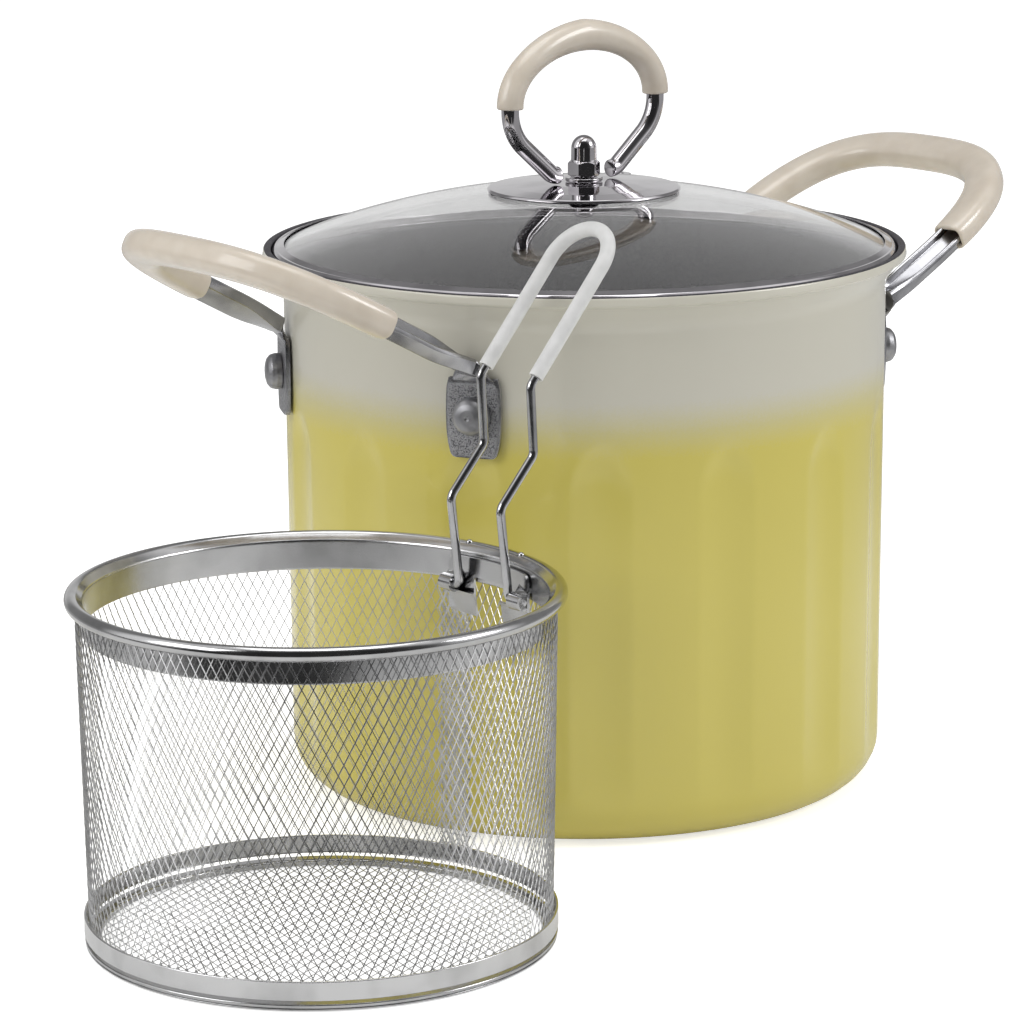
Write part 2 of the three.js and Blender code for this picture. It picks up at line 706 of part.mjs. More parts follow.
/** The steel ring that folds over the edge of the glass and sits on the pot's ledge. */
function lidRing() {
  const inner = glassEdgeRadius - RING_LAP;
  const under = domeHeight(glassEdgeRadius) - GLASS_THICKNESS - REST_GAP;
  const bendRadius = RING_SHEET;
  const profile = [
    [inner, under - RING_SHEET],
    [glassEdgeRadius, ringBottom],
    ...arc(RING_RADIUS - bendRadius, ringBottom + bendRadius, bendRadius, -RING_FOLD_ANGLE, 0, 1),
    ...arc(RING_RADIUS - bendRadius, ringTop - bendRadius, bendRadius, 0, RING_FOLD_ANGLE, 1),
    [glassEdgeRadius, ringTop],
    [inner, domeHeight(inner) + REST_GAP + RING_SHEET],
    [inner, domeHeight(inner) + REST_GAP],
    [glassEdgeRadius + REST_GAP, domeHeight(glassEdgeRadius) + REST_GAP],
    [glassEdgeRadius + REST_GAP, under],
    [inner, under],
  ];
  return revolve(profile, ROUND_SIDES, true);
}

const discMiddleShare = 0.6;
const discEdgeShare = 0.7;
const discShoulderShare = 1.3;

/** The polished disc under the lid's handle. */
function lidDisc() {
  const bore = SCREW_RADIUS + REST_GAP;
  const middle = DISC_RADIUS * discMiddleShare;
  const fallAt = (r) => domeHeight(r) + REST_GAP;
  const profile = [
    [bore, fallAt(BUTTON_HOLE)],
    [middle, fallAt(middle)],
    [DISC_RADIUS, fallAt(DISC_RADIUS)],
    [DISC_RADIUS, fallAt(DISC_RADIUS) + DISC_SHEET * discEdgeShare],
    [DISC_RADIUS - DISC_SHEET, fallAt(DISC_RADIUS) + DISC_SHEET * discShoulderShare],
    [middle, discTop],
    [bore, discTop],
  ];
  return revolve(profile, ROUND_SIDES, true);
}

/** Centre line of the bent wire bow of the lid, in the plane of X and Z. */
function bowLine() {
  const low = discTop + REST_GAP + BOW_WIRE / 2;
  const at = (x, z) => new THREE.Vector3(x, 0, z);
  const side = rounded(
    [
      at(BOW_FOOT_INNER, low),
      at(BOW_FOOT_OUTER, low),
      at(BOW_HALF_SPAN, discTop + BOW_SPAN_HEIGHT),
      at(BOW_HALF_SPAN, discTop + BOW_GRIP_HEIGHT),
    ],
    BOW_FOOT_BEND,
    EDGE_STEPS,
  );
  const steps = LOOP_STEPS / 2;
  const arch = Array.from({ length: steps + 1 }, (_, i) => {
    const angle = (Math.PI * i) / steps;
    const across = Math.sign(Math.cos(angle)) * Math.abs(Math.cos(angle)) ** (2 / BOW_SQUARENESS);
    const up = Math.abs(Math.sin(angle)) ** (2 / BOW_SQUARENESS);
    return at(BOW_HALF_SPAN * across, discTop + BOW_GRIP_HEIGHT + (BOW_TOP_HEIGHT - BOW_GRIP_HEIGHT) * up);
  });
  const mirrored = side.slice(0, -1).map((p) => at(-p.x, p.z)).reverse();
  return { whole: [...side.slice(0, -1), ...arch, ...mirrored], arch };
}

/** The grip over the top of the bow, fuller in its middle. */
function lidGrip() {
  const { arch } = bowLine();
  const middle = (arch.length - 1) / 2;
  const depth = new THREE.Vector3(0, 1, 0);
  const outer = [];
  const bore = [];
  arch.forEach((place, i) => {
    const across = new THREE.Vector3().crossVectors(directionAt(arch, i), depth).normalize();
    const fullness = 1 - ((i - middle) / middle) ** 2;
    const radius = THREE.MathUtils.lerp(LID_GRIP_END, LID_GRIP_TOP, fullness) / 2;
    const round = (r) => roundSection(r, WIRE_SIDES).map(({ x, y }) => [x, y]);
    outer.push({ place, across, up: depth, section: round(radius) });
    bore.push({ place, across, up: depth, section: round(BOW_WIRE / 2 + REST_GAP) });
  });
  return bar([...outer, ...bore.reverse()], true);
}

/** The cap nut: a chamfered hexagon under a dome, with a blind bore for the screw. */
function capNut() {
  const base = discTop + REST_GAP + NUT_WASHER_SHEET + REST_GAP;
  const hexTop = base + NUT_HEX_HEIGHT;
  const hex = plate(roundSection(NUT_HEX, 6).map(({ x, y }) => [x, y]), NUT_HEX_HEIGHT).translate(0, 0, base);
  const envelope = [
    [0, base],
    [NUT_HEX - NUT_CHAMFER, base],
    [NUT_HEX, base + NUT_CHAMFER],
    [NUT_HEX, hexTop - NUT_CHAMFER],
    [NUT_DOME, hexTop],
    [0, hexTop],
  ];
  const dome = [
    [0, base + NUT_CHAMFER],
    [NUT_DOME, base + NUT_CHAMFER],
    ...arc(0, base + NUT_HEIGHT - NUT_DOME, NUT_DOME, 0, 90, 4),
  ];
  const bore = cylinder(SCREW_RADIUS + REST_GAP, base - CUT_OVERRUN, base + NUT_BORE_HEIGHT, SMALL_SIDES);
  const body = solid(hex).intersect(solid(revolve(envelope, SMALL_SIDES * 2)));
  return surface(body.add(solid(revolve(dome, SMALL_SIDES))).subtract(solid(bore)));
}

/** A flat ring about the lid's axis. */
function washer(inner, outer, from, to) {
  return revolve([[inner, from], [outer, from], [outer, to], [inner, to]], SMALL_SIDES * 2, true);
}

const screwHeadShares = [[0, 1], [0.7, 1], [1, 0.5], [1, 0]];

/** The lid's screw: a low head under the glass and a shank that ends in the nut. */
function lidScrew() {
  const top = sealTop - SEAL_THICKNESS - REST_GAP;
  const tip = discTop + NUT_WASHER_SHEET + NUT_BORE_HEIGHT;
  const profile = [
    ...screwHeadShares.map(([across, down]) => [SCREW_HEAD_RADIUS * across, top - SCREW_HEAD_HEIGHT * down]),
    [SCREW_RADIUS, top],
    [SCREW_RADIUS, tip],
    [0, tip],
  ];
  return revolve(profile, SMALL_SIDES);
}

/** The small steel eyelet that lines the vent hole. */
function ventEyelet() {
  const [x, y] = ventPlace();
  const face = domeHeight(VENT_FROM_AXIS - VENT_FLANGE) + REST_GAP;
  const tubeOuter = VENT_RADIUS - REST_GAP;
  const tubeInner = tubeOuter - VENT_SHEET;
  const bottom = face - GLASS_THICKNESS;
  const profile = [
    [tubeInner, bottom],
    [tubeOuter, bottom],
    [tubeOuter, face],
    [VENT_FLANGE, face],
    [VENT_FLANGE, face + VENT_SHEET],
    [tubeInner, face + VENT_SHEET],
  ];
  return revolve(profile, SMALL_SIDES, true).translate(x, y, 0);
}

// Basket

/** Moves a piece built about the basket's own axis to where the basket stands. */
function inBasket(geometry) {
  return geometry.translate(basketX, BASKET_Y, 0);
}

/** The rolled rim with its short outer lip, the band inside the mesh and two small stops for the wires. */
function basketRim() {
  const outer = BASKET_RIM_RADIUS;
  const profile = [
    [outer - BAND_SHEET, BASKET_HEIGHT - RIM_LIP_HEIGHT],
    [outer, BASKET_HEIGHT - RIM_LIP_HEIGHT],
    ...arc(outer - RIM_ROLL, BASKET_HEIGHT - RIM_ROLL, RIM_ROLL, 0, 90, 2),
    ...arc(bandInner + RIM_ROLL, BASKET_HEIGHT - RIM_ROLL, RIM_ROLL, 90, 180, 2),
    [bandInner, basketRimBottom],
    [bandOuter, basketRimBottom],
    [bandOuter, BASKET_HEIGHT - RIM_ROLL],
    [outer - BAND_SHEET, BASKET_HEIGHT - RIM_ROLL],
  ];
  let body = solid(revolve(profile, BASKET_SIDES, true));
  const middle = (bandInner + outer) / 2;
  for (const side of [-1, 1]) {
    const turn = HANDLE_TURN + THREE.MathUtils.radToDeg((side * WIRE_HALF_SPACING + NUB_OFFSET) / middle);
    const nub = new THREE.SphereGeometry(NUB_RADIUS, 6, 4).translate(middle - RIM_ROLL / 2, 0, BASKET_HEIGHT);
    body = body.add(solid(nub.rotateZ(rad(turn))));
  }
  return inBasket(surface(body));
}

/** Radius of the middle of the mesh sheet at a height. */
function meshRadius(height) {
  const up = (height - meshBottom) / (meshTop - meshBottom);
  return THREE.MathUtils.lerp(meshRadiusBottom, meshRadiusTop, up) - MESH_SHEET / 2;
}

/** How far a strand's half width reaches across and up where strands cross, by a half diamond's size. */
function strandReach(run, rise) {
  const slant = Math.hypot(run, rise);
  return [((MESH_STRAND / 2) * slant) / rise, ((MESH_STRAND / 2) * slant) / run];
}

/** The wall of expanded mesh: a tapered sheet of diamonds closed by a plain edge above and below. */
function meshWall() {
  const edge = MESH_STRAND / 2;
  const low = meshBottom + edge;
  const rise = (meshTop - edge - low) / MESH_ROWS;
  const stepAngle = Math.PI / MESH_AROUND;
  const run = meshRadiusTop * stepAngle;
  const [across, upwards] = strandReach(run, rise);
  const dx = across / run;
  const dy = upwards / rise;
  const points = [];
  const index = [];
  const known = new Map();
  const corner = (column, row, face) => {
    const wrapped = ((column % (2 * MESH_AROUND)) + 2 * MESH_AROUND) % (2 * MESH_AROUND);
    const key = [wrapped.toFixed(4), row.toFixed(4), face].join();
    if (!known.has(key)) {
      const height = low + row * rise;
      const radius = meshRadius(height) + (face * MESH_SHEET) / 2;
      known.set(key, points.length);
      const angle = wrapped * stepAngle;
      points.push(new THREE.Vector3(radius * Math.cos(angle), radius * Math.sin(angle), height));
    }
    return known.get(key);
  };
  const face = (corners) => {
    for (const side of [1, -1]) {
      const at = corners.map(([column, row]) => corner(column, row, side));
      for (let i = 2; i < at.length; i += 1) {
        index.push(...(side > 0 ? [at[0], at[i - 1], at[i]] : [at[0], at[i], at[i - 1]]));
      }
    }
  };
  const wall = (from, to) => {
    const [a, b] = [corner(...from, 1), corner(...to, 1)];
    const [c, d] = [corner(...to, -1), corner(...from, -1)];
    index.push(a, b, c, a, c, d);
  };
  const brim = edge / rise;
  for (let row = 0; row <= MESH_ROWS; row += 1) {
    const down = row === 0 ? 0 : dy;
    const up = row === MESH_ROWS ? 0 : dy;
    for (let column = row % 2; column < 2 * MESH_AROUND; column += 2) {
      const crossing = [[column - dx, row], [column, row - down], [column + dx, row], [column, row + up]];
      face(crossing.filter((_, i) => (i !== 1 || down > 0) && (i !== 3 || up > 0)));
      if (row < MESH_ROWS) {
        const above = [column, row + dy];
        face([[column + dx, row], [column + 1, row + 1 - dy], [column + 1 - dx, row + 1], above]);
        face([[column - dx, row], above, [column - 1 + dx, row + 1], [column - 1, row + 1 - dy]]);
      }
      const hole = [
        [column + dx, row],
        [column + 1, row + 1 - dy],
        [column + 2 - dx, row],
        [column + 1, row - 1 + dy],
      ];
      if (row < MESH_ROWS) {
        wall(hole[1], hole[0]);
        wall(hole[2], hole[1]);
      }
      if (row > 0) {
        wall(hole[0], hole[3]);
        wall(hole[3], hole[2]);
      }
      if (row === 0 || row === MESH_ROWS) {
        const out = row === 0 ? -brim : row + brim;
        const flip = (list) => (row === 0 ? list : list.reverse());
        face(flip([[column - dx, out], [column + dx, out], [column + dx, row], [column - dx, row]]));
        face(flip([[column + dx, out], [column + 2 - dx, out], [column + 2 - dx, row], [column + dx, row]]));
        for (const [from, to] of [[column - dx, column + dx], [column + dx, column + 2 - dx]]) {
          const pair = row === 0 ? [[to, out], [from, out]] : [[from, out], [to, out]];
          wall(...pair);
        }
        const lip = row === 0 ? [hole[0], hole[2]] : [hole[2], hole[0]];
        wall(...lip);
      }
    }
  }
  const geometry = new THREE.BufferGeometry().setFromPoints(points);
  geometry.setIndex(index);
  return inBasket(tidy(geometry));
}

/** The flat mesh floor: a disc with diamond holes, whole ones only. */
function meshFloor() {
  const radius = meshRadiusBottom - MESH_SHEET - meshFacetFall - REST_GAP;
  const holes = [];
  const [across, upwards] = strandReach(FLOOR_PITCH_X / 2, FLOOR_PITCH_Y / 2);
  const halfX = FLOOR_PITCH_X / 2 - across;
  const halfY = FLOOR_PITCH_Y / 2 - upwards;
  const columns = Math.ceil(radius / FLOOR_PITCH_X) * 2;
  for (let i = -columns; i <= columns; i += 1) {
    for (let j = -columns; j <= columns; j += 1) {
      if ((i + j) % 2 === 0) {
        const [x, y] = [(i * FLOOR_PITCH_X) / 2, (j * FLOOR_PITCH_Y) / 2];
        const diamond = [[x - halfX, y], [x, y + halfY], [x + halfX, y], [x, y - halfY]];
        if (diamond.every(([u, v]) => Math.hypot(u, v) < radius - MESH_STRAND * 2)) {
          holes.push(diamond);
        }
      }
    }
  }
  const rim = roundSection(radius, BASKET_SIDES).map(({ x, y }) => [x, y]);
  return inBasket(plate(rim, MESH_SHEET, holes).translate(0, 0, meshBottom));
}

/** The flat band round the lower end of the mesh. */
function footBand() {
  const from = FOOT_HEIGHT + FOOT_LINE;
  const to = from + FOOT_BAND_HEIGHT;
  const inner = meshRadius(to) + MESH_SHEET / 2 + REST_GAP;
  const outer = inner + BAND_SHEET;
  const edge = FOOT_ROUND / 2;
  const profile = [[inner, from], [outer - edge, from], [outer, from + edge], [outer, to], [inner, to]];
  return inBasket(revolve(profile, BASKET_SIDES, true));
}

/** The rounded ring on which the basket stands, under the mesh wall and floor. */
function footRing() {
  const outer = meshRadiusBottom + REST_GAP + BAND_SHEET;
  const profile = [
    [outer - FOOT_WIDTH, 0],
    [outer - FOOT_ROUND, 0],
    [outer, FOOT_ROUND],
    [outer, FOOT_HEIGHT - FOOT_ROUND],
    [outer - FOOT_ROUND, FOOT_HEIGHT],
    [outer - FOOT_WIDTH, FOOT_HEIGHT],
  ];
  return inBasket(revolve(profile, BASKET_SIDES, true));
}

// Basket handle

/** Moves a piece built in the handle's own frame (x outwards, y along the rim) to the basket. */
function atHandle(geometry) {
  return inBasket(geometry.rotateZ(rad(HANDLE_TURN)));
}

/** Places of one wire from its outer end in the knuckle up to where the sleeve starts. */
function wireLeg(side) {
  const at = ({ x, y }, offset) => new THREE.Vector3(hingeRadius + x, side * offset, hingeHeight + y);
  const origin = new THREE.Vector2(0, 0);
  const foot = [at(origin, WIRE_END), at(origin, WIRE_HALF_SPACING), at(KINK_LOW, WIRE_HALF_SPACING)];
  const low = rounded(foot, WIRE_BEND);
  const high = rounded(
    [low.at(-1), at(KINK_HIGH, WIRE_HALF_SPACING), at(SLEEVE_START, WIRE_HALF_SPACING), tipStart(side)],
    KINK_BEND,
    EDGE_STEPS,
  );
  const join = rounded([low.at(-2), low.at(-1), high[1]], KINK_BEND, EDGE_STEPS);
  return [...low.slice(0, -1), ...join.slice(1, -1), ...high.slice(1)];
}

/** The line along which the sleeved part leans outwards. */
function leanDirection() {
  return HANDLE_TIP.clone().sub(SLEEVE_START).normalize();
}

/** Where a wire ends its straight run and the round end of the loop begins. */
function tipStart(side) {
  const base = HANDLE_TIP.clone().addScaledVector(leanDirection(), -WIRE_HALF_SPACING);
  return new THREE.Vector3(hingeRadius + base.x, side * WIRE_HALF_SPACING, hingeHeight + base.y);
}

/** Points of the round end of the loop, from the +y wire to the -y wire. */
function tipArc() {
  const steps = BEND_STEPS * 3;
  const lean = leanDirection();
  return Array.from({ length: steps - 1 }, (_, i) => {
    const angle = (Math.PI * (i + 1)) / steps;
    const out = WIRE_HALF_SPACING * Math.sin(angle);
    const aside = WIRE_HALF_SPACING * Math.cos(angle);
    return tipStart(0).add(new THREE.Vector3(lean.x * out, aside, lean.y * out));
  });
}

/** The bent wire of the basket's handle. */
function handleWire() {
  const line = [...wireLeg(1), ...tipArc(), ...wireLeg(-1).reverse()];
  return atHandle(tube(line, WIRE_RADIUS, WIRE_SIDES));
}

/** The sleeve over the upper loop of the wire. */
function handleSleeve() {
  const leg = (side) => {
    const { x, y } = SLEEVE_START.clone().addScaledVector(leanDirection(), KINK_BEND);
    return [new THREE.Vector3(hingeRadius + x, side * WIRE_HALF_SPACING, hingeHeight + y), tipStart(side)];
  };
  const line = [...leg(1), ...tipArc(), ...leg(-1).reverse()];
  return atHandle(tube(line, SLEEVE_RADIUS, WIRE_SIDES, WIRE_RADIUS + REST_GAP));
}

/** The stamped bracket inside the rim: a bent plate with a window and two knuckles for the wire's ends. */
function handleBracket() {
  const innerFace = bracketOuter - BRACKET_SHEET;
  const halfAngle = Math.asin(BRACKET_HALF_WIDTH / bracketOuter);
  const steps = EDGE_STEPS * 3;
  const edgeAt = (radius, share) => {
    const angle = THREE.MathUtils.lerp(-halfAngle, halfAngle, share);
    return [radius * Math.cos(angle), radius * Math.sin(angle)];
  };
  const widthShares = Array.from({ length: steps + 1 }, (_, i) => i / steps);
  const outline = [
    ...widthShares.map((share) => edgeAt(bracketOuter, share)),
    ...widthShares.map((share) => edgeAt(innerFace, 1 - share)),
  ];
  const height = BRACKET_RISE + BRACKET_DROP;
  let body = solid(plate(outline, height).translate(0, 0, hingeHeight - BRACKET_DROP));
  const windowHeight = BRACKET_DROP + WINDOW_RISE + CUT_OVERRUN;
  const window = new THREE.BoxGeometry(BRACKET_SHEET + 2 * CUT_OVERRUN, 2 * WINDOW_HALF_WIDTH, windowHeight);
  const windowMiddle = hingeHeight + WINDOW_RISE - windowHeight / 2;
  body = body.subtract(solid(window.translate(innerFace, 0, windowMiddle)));
  for (const side of [-1, 1]) {
    const length = KNUCKLE_END - KNUCKLE_START;
    const middle = (side * (KNUCKLE_START + KNUCKLE_END)) / 2;
    const along = (radius, reach) =>
      cylinder(radius, -reach / 2, reach / 2, SMALL_SIDES).rotateX(Math.PI / 2);
    const placed = (geometry) => solid(geometry.translate(hingeRadius, middle, hingeHeight));
    body = body.add(placed(along(KNUCKLE_RADIUS, length)));
    body = body.subtract(placed(along(WIRE_RADIUS + REST_GAP, length + 2 * CUT_OVERRUN)));
  }
  return atHandle(surface(body));
}

// Assembly

const group = new THREE.Group();
group.name = "deep_fryer_pot";

const bow = bowLine().whole;
const boltBore = SCREW_RADIUS + REST_GAP;
const washerBase = discTop + REST_GAP;
const washerTop = washerBase + NUT_WASHER_SHEET;

const pieces = [
  ["pot_body", potBody(), enamel()],
  ["handle_right", steelHandle(0), platedSteel()],
  ["handle_left", steelHandle(180), platedSteel()],
  ["grip_right", sideGrip(0), creamPlastic()],
  ["grip_left", sideGrip(180), creamPlastic()],
  ["rivet_right_rear", rivet(EAR_ANGLE), aluminium()],
  ["rivet_right_front", rivet(-EAR_ANGLE), aluminium()],
  ["rivet_left_front", rivet(180 + EAR_ANGLE), aluminium()],
  ["rivet_left_rear", rivet(180 - EAR_ANGLE), aluminium()],
  ["lid_glass", lidGlass(), clearGlass()],
  ["lid_ring", lidRing(), brightSteel()],
  ["lid_disc", lidDisc(), brightSteel()],
  ["lid_bow", tube(bow, BOW_WIRE / 2, WIRE_SIDES), brightSteel()],
  ["lid_grip", lidGrip(), creamPlastic()],
  ["lid_cap_nut", capNut(), brightSteel()],
  ["lid_nut_washer", washer(boltBore, NUT_WASHER_RADIUS, washerBase, washerTop), brightSteel()],
  ["lid_seal", washer(boltBore, SEAL_RADIUS, sealTop - SEAL_THICKNESS, sealTop), sealSilicone()],
  ["lid_screw", lidScrew(), brightSteel()],
  ["lid_vent_eyelet", ventEyelet(), brightSteel()],
  ["basket_rim", basketRim(), basketSteel()],
  ["basket_mesh_wall", meshWall(), meshSteel()],
  ["basket_mesh_floor", meshFloor(), meshSteel()],
  ["basket_foot_band", footBand(), basketSteel()],
  ["basket_foot_ring", footRing(), basketSteel()],
  ["basket_bracket", handleBracket(), basketSteel()],
  ["basket_handle_wire", handleWire(), brightSteel()],
  ["basket_handle_sleeve", handleSleeve(), whiteSilicone()],
];
for (const [name, geometry, look] of pieces) {
  group.add(piece(name, geometry, look));
}

export default group;
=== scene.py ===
"""Looks of the deep fryer pot: enamelled pot, glass lid and wire basket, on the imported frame.

Shapes are worked out as numpy arrays in millimetres. Sizes in fields are in millimetres and degrees.
"""
import logging
import math
from dataclasses import dataclass, field
from enum import Enum
from typing import Protocol

import bpy
import numpy as np
from mathutils import Matrix, Vector


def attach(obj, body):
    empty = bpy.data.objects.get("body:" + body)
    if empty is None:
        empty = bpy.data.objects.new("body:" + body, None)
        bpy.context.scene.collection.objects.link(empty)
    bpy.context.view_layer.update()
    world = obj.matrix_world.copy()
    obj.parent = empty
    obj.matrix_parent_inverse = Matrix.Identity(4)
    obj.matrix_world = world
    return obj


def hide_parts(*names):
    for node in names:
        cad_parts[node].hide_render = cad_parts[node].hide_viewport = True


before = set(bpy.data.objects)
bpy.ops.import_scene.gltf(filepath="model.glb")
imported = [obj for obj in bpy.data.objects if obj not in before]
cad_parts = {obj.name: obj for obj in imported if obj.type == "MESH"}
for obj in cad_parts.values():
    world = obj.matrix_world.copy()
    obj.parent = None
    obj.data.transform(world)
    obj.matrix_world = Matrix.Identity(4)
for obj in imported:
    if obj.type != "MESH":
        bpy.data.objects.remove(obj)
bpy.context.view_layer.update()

MM = 0.001
LOG = logging.getLogger("deep_fryer_pot")

Array = np.ndarray
Pair = tuple[float, float]
Triple = tuple[float, float, float]
Colour = tuple[float, float, float, float]
Material = bpy.types.Material
Tree = bpy.types.NodeTree
Socket = bpy.types.NodeSocket

Y_AXIS = np.array([0.0, 1.0, 0.0])
MIRROR_X = np.array([-1, 1, 1])
MIRROR_Y = np.array([1, -1, 1])


# Arrays that make shapes


def unit(vectors: Array) -> Array:
    """Each vector divided by its own length."""
    return vectors / np.linalg.norm(vectors, axis=-1, keepdims=True)


def along(line: Array) -> Array:
    """Distance of each point of a line from its start, along the line."""
    return np.r_[0, np.cumsum(np.linalg.norm(np.diff(line, axis=0), axis=1))]


def taken_at(line: Array, places: Array) -> Array:
    """Points of a line at the given distances along it, between its own points in a straight line."""
    length = along(line)
    return np.stack([np.interp(places, length, line[:, k]) for k in range(line.shape[1])], 1)


def soft_step(value: Array) -> Array:
    """Soft step, 3 t squared minus 2 t cubed, with t held between 0 and 1."""
    t = np.clip(value, 0, 1)
    return t * t * (3 - 2 * t)


def circle(sides: int) -> Array:
    """Points of a circle of radius one."""
    angle = np.linspace(0, 2 * np.pi, sides, endpoint=False)
    return np.stack([np.cos(angle), np.sin(angle)], 1)


def squircle(sides: int, power: float) -> Array:
    """Points of a squared circle, |x| ** power + |y| ** power = 1."""
    x, y = circle(sides).T
    return np.stack([np.sign(x) * np.abs(x) ** (2 / power), np.sign(y) * np.abs(y) ** (2 / power)], 1)


def around_axis(radius: Array, angle: Array, height: Array) -> Array:
    """Points about Z: x = radius cos(angle), y = radius sin(angle), z = height."""
    return np.stack(np.broadcast_arrays(radius * np.cos(angle), radius * np.sin(angle), height), -1)


def carried(places: Array, across: Array, up: Array, sections: Array) -> Array:
    """Rings of points along a path: each is place + across * x + up * y of its section."""
    return places[:, None] + across[:, None] * sections[..., :1] + up[:, None] * sections[..., 1:]


def densified(line: Array, step: float) -> Array:
    """Adds points to a line, so that none is farther than a step from the next.

    Args:
        line: the line's points.
        step: the longest distance that is left.

    Returns:
        The line's own points, and even ones between them where none of its own is near.
    """
    length = along(line)
    even = np.linspace(0, length[-1], int(np.ceil(length[-1] / step)) + 1)
    near = np.abs(even[:, None] - length[None]).min(1)
    return taken_at(line, np.sort(np.r_[length, even[near > 0.3 * step]]))


def rounded(corners: Array, radius: Array | float, steps: int = 6, closed: bool = False,
            brace: float = 0.0) -> Array:
    """Turns each corner of a line into an arc that touches both of its sides.

    The arc's centre lies on the corner's bisector, at radius / sin(half the corner). Its points turn evenly
    from one side to the other: start * sin((1 - t) * sweep) + end * sin(t * sweep), all over sin(sweep).

    Args:
        corners: points of the line, one a row, in two or three dimensions.
        radius: one radius, or one for each corner that is rounded.
        steps: pieces of each arc.
        closed: whether the line runs back to its first corner.
        brace: how far beyond both ends of an arc one more point lies, which keeps flat sides flat under
            smooth shading, or 0 for no such points. It is at most 0.3 of the side's straight part.

    Returns:
        The rounded line.
    """
    inner = slice(None) if closed else slice(1, -1)
    corner = corners[inner]
    back = unit(np.roll(corners, 1, 0)[inner] - corner)
    onward = unit(np.roll(corners, -1, 0)[inner] - corner)
    half = np.arccos(np.clip((back * onward).sum(1), -1, 1)) / 2
    size = np.broadcast_to(radius, half.shape)
    centre = unit(back + onward) * (size / np.sin(half))[:, None]
    start = (back * (size / np.tan(half))[:, None] - centre)[:, None]
    end = (onward * (size / np.tan(half))[:, None] - centre)[:, None]
    sweep = (np.pi - 2 * half)[:, None, None]
    share = np.linspace(0, 1, steps + 1)[None, :, None]
    arcs = (start * np.sin((1 - share) * sweep) + end * np.sin(share * sweep)) / np.sin(sweep)
    if brace:
        cut = np.zeros(len(corners))
        cut[inner] = size / np.tan(half)
        room = np.linalg.norm(np.roll(corners, -1, 0) - corners, axis=1) - cut - np.roll(cut, -1)
        reach = np.minimum(brace, 0.3 * room)
        before = start + back[:, None] * np.roll(reach, 1)[inner][:, None, None]
        arcs = np.concatenate([before, arcs, end + onward[:, None] * reach[inner][:, None, None]], 1)
    line = (arcs + (corner + centre)[:, None]).reshape(-1, corners.shape[1])
    return line if closed else np.vstack([corners[:1], line, corners[-1:]])


def path_frame(line: Array, reference: Array) -> tuple[Array, Array, Array]:
    """Directions along, across and up at each point of a path.

    Args:
        line: the path's points.
        reference: a direction that the path never runs along.

    Returns:
        Along, the slope of the points; across, reference x along; and up, along x across.
    """
    forward = unit(np.gradient(line, axis=0))
    across = unit(np.cross(np.broadcast_to(reference, line.shape), forward))
    return forward, across, np.cross(forward, across)


@dataclass
class Skin:
    """A closed surface as arrays: points in millimetres, four-sided faces and three-sided faces."""

    points: Array
    quads: Array
    triangles: Array = field(default_factory=lambda: np.empty((0, 3), int))

    def shifted(self, x: float, y: float, z: float) -> "Skin":
        """The surface moved by x, y and z."""
        return Skin(self.points + np.array([x, y, z]), self.quads, self.triangles)

    def turned(self, degrees: float) -> "Skin":
        """The surface turned about Z."""
        c, s = math.cos(math.radians(degrees)), math.sin(math.radians(degrees))
        return Skin(self.points @ np.array([[c, s, 0], [-s, c, 0], [0, 0, 1]]), self.quads, self.triangles)

    def pointed_outwards(self, degrees: float, height: float) -> "Skin":
        """Lays the surface, built about Z, on an axis that points away from the pot.

        Args:
            degrees: the axis's angle about Z.
            height: the axis's height.

        Returns:
            The surface.
        """
        x, y, z = self.points.T
        tipped = Skin(np.stack([z, y, -x], 1), self.quads, self.triangles).turned(degrees)
        return tipped.shifted(0, 0, height)

    def facing_out(self) -> "Skin":
        """Turns the faces round where they point inwards: there the corners' triple products sum to below 0.

        Returns:
            The surface, facing out.
        """
        a, b, c, d = (self.points[self.quads[:, k]] for k in range(4))
        volume = (np.cross(a, b) * c).sum() + (np.cross(a, c) * d).sum()
        p, q, r = (self.points[self.triangles[:, k]] for k in range(3))
        volume += (np.cross(p, q) * r).sum()
        if volume < 0:
            return Skin(self.points, self.quads[:, ::-1], self.triangles[:, ::-1])
        return self


def joined(skins: list[Skin]) -> Skin:
    """Puts several surfaces into one, each facing out.

    Args:
        skins: the surfaces.

    Returns:
        The one surface.
    """
    parts = [skin.facing_out() for skin in skins]
    start = np.cumsum([0] + [len(part.points) for part in parts[:-1]])
    return Skin(np.vstack([part.points for part in parts]),
                np.vstack([part.quads + first for part, first in zip(parts, start)]),
                np.vstack([part.triangles + first for part, first in zip(parts, start)]))


def skinned(rings: Array, closed: bool, tips: Array | None = None) -> Skin:
    """Joins rings of points into a surface, by faces from each point to the next, the next ring and back.

    Args:
        rings: points by ring, place on the ring and axis.
        closed: whether the last ring joins the first.
        tips: the two points that close the ends, or None for the middles of the end rings.

    Returns:
        The surface, with a fan of triangles over each end if it isn't closed.
    """
    count, sides = rings.shape[:2]
    points = rings.reshape(-1, 3)
    here = np.arange(sides)
    onward = (here + 1) % sides
    ring = np.arange(count if closed else count - 1)[:, None]
    this, following = ring * sides, (ring + 1) % count * sides
    quads = np.stack([this + here, this + onward, following + onward, following + here], -1).reshape(-1, 4)
    if closed:
        return Skin(points, quads)
    ends = rings[[0, -1]].mean(1) if tips is None else tips
    last = (count - 1) * sides
    first_fan = np.stack([onward, here, np.full(sides, count * sides)], 1)
    last_fan = np.stack([last + here, last + onward, np.full(sides, count * sides + 1)], 1)
    return Skin(np.vstack([points, ends]), quads, np.vstack([first_fan, last_fan]))


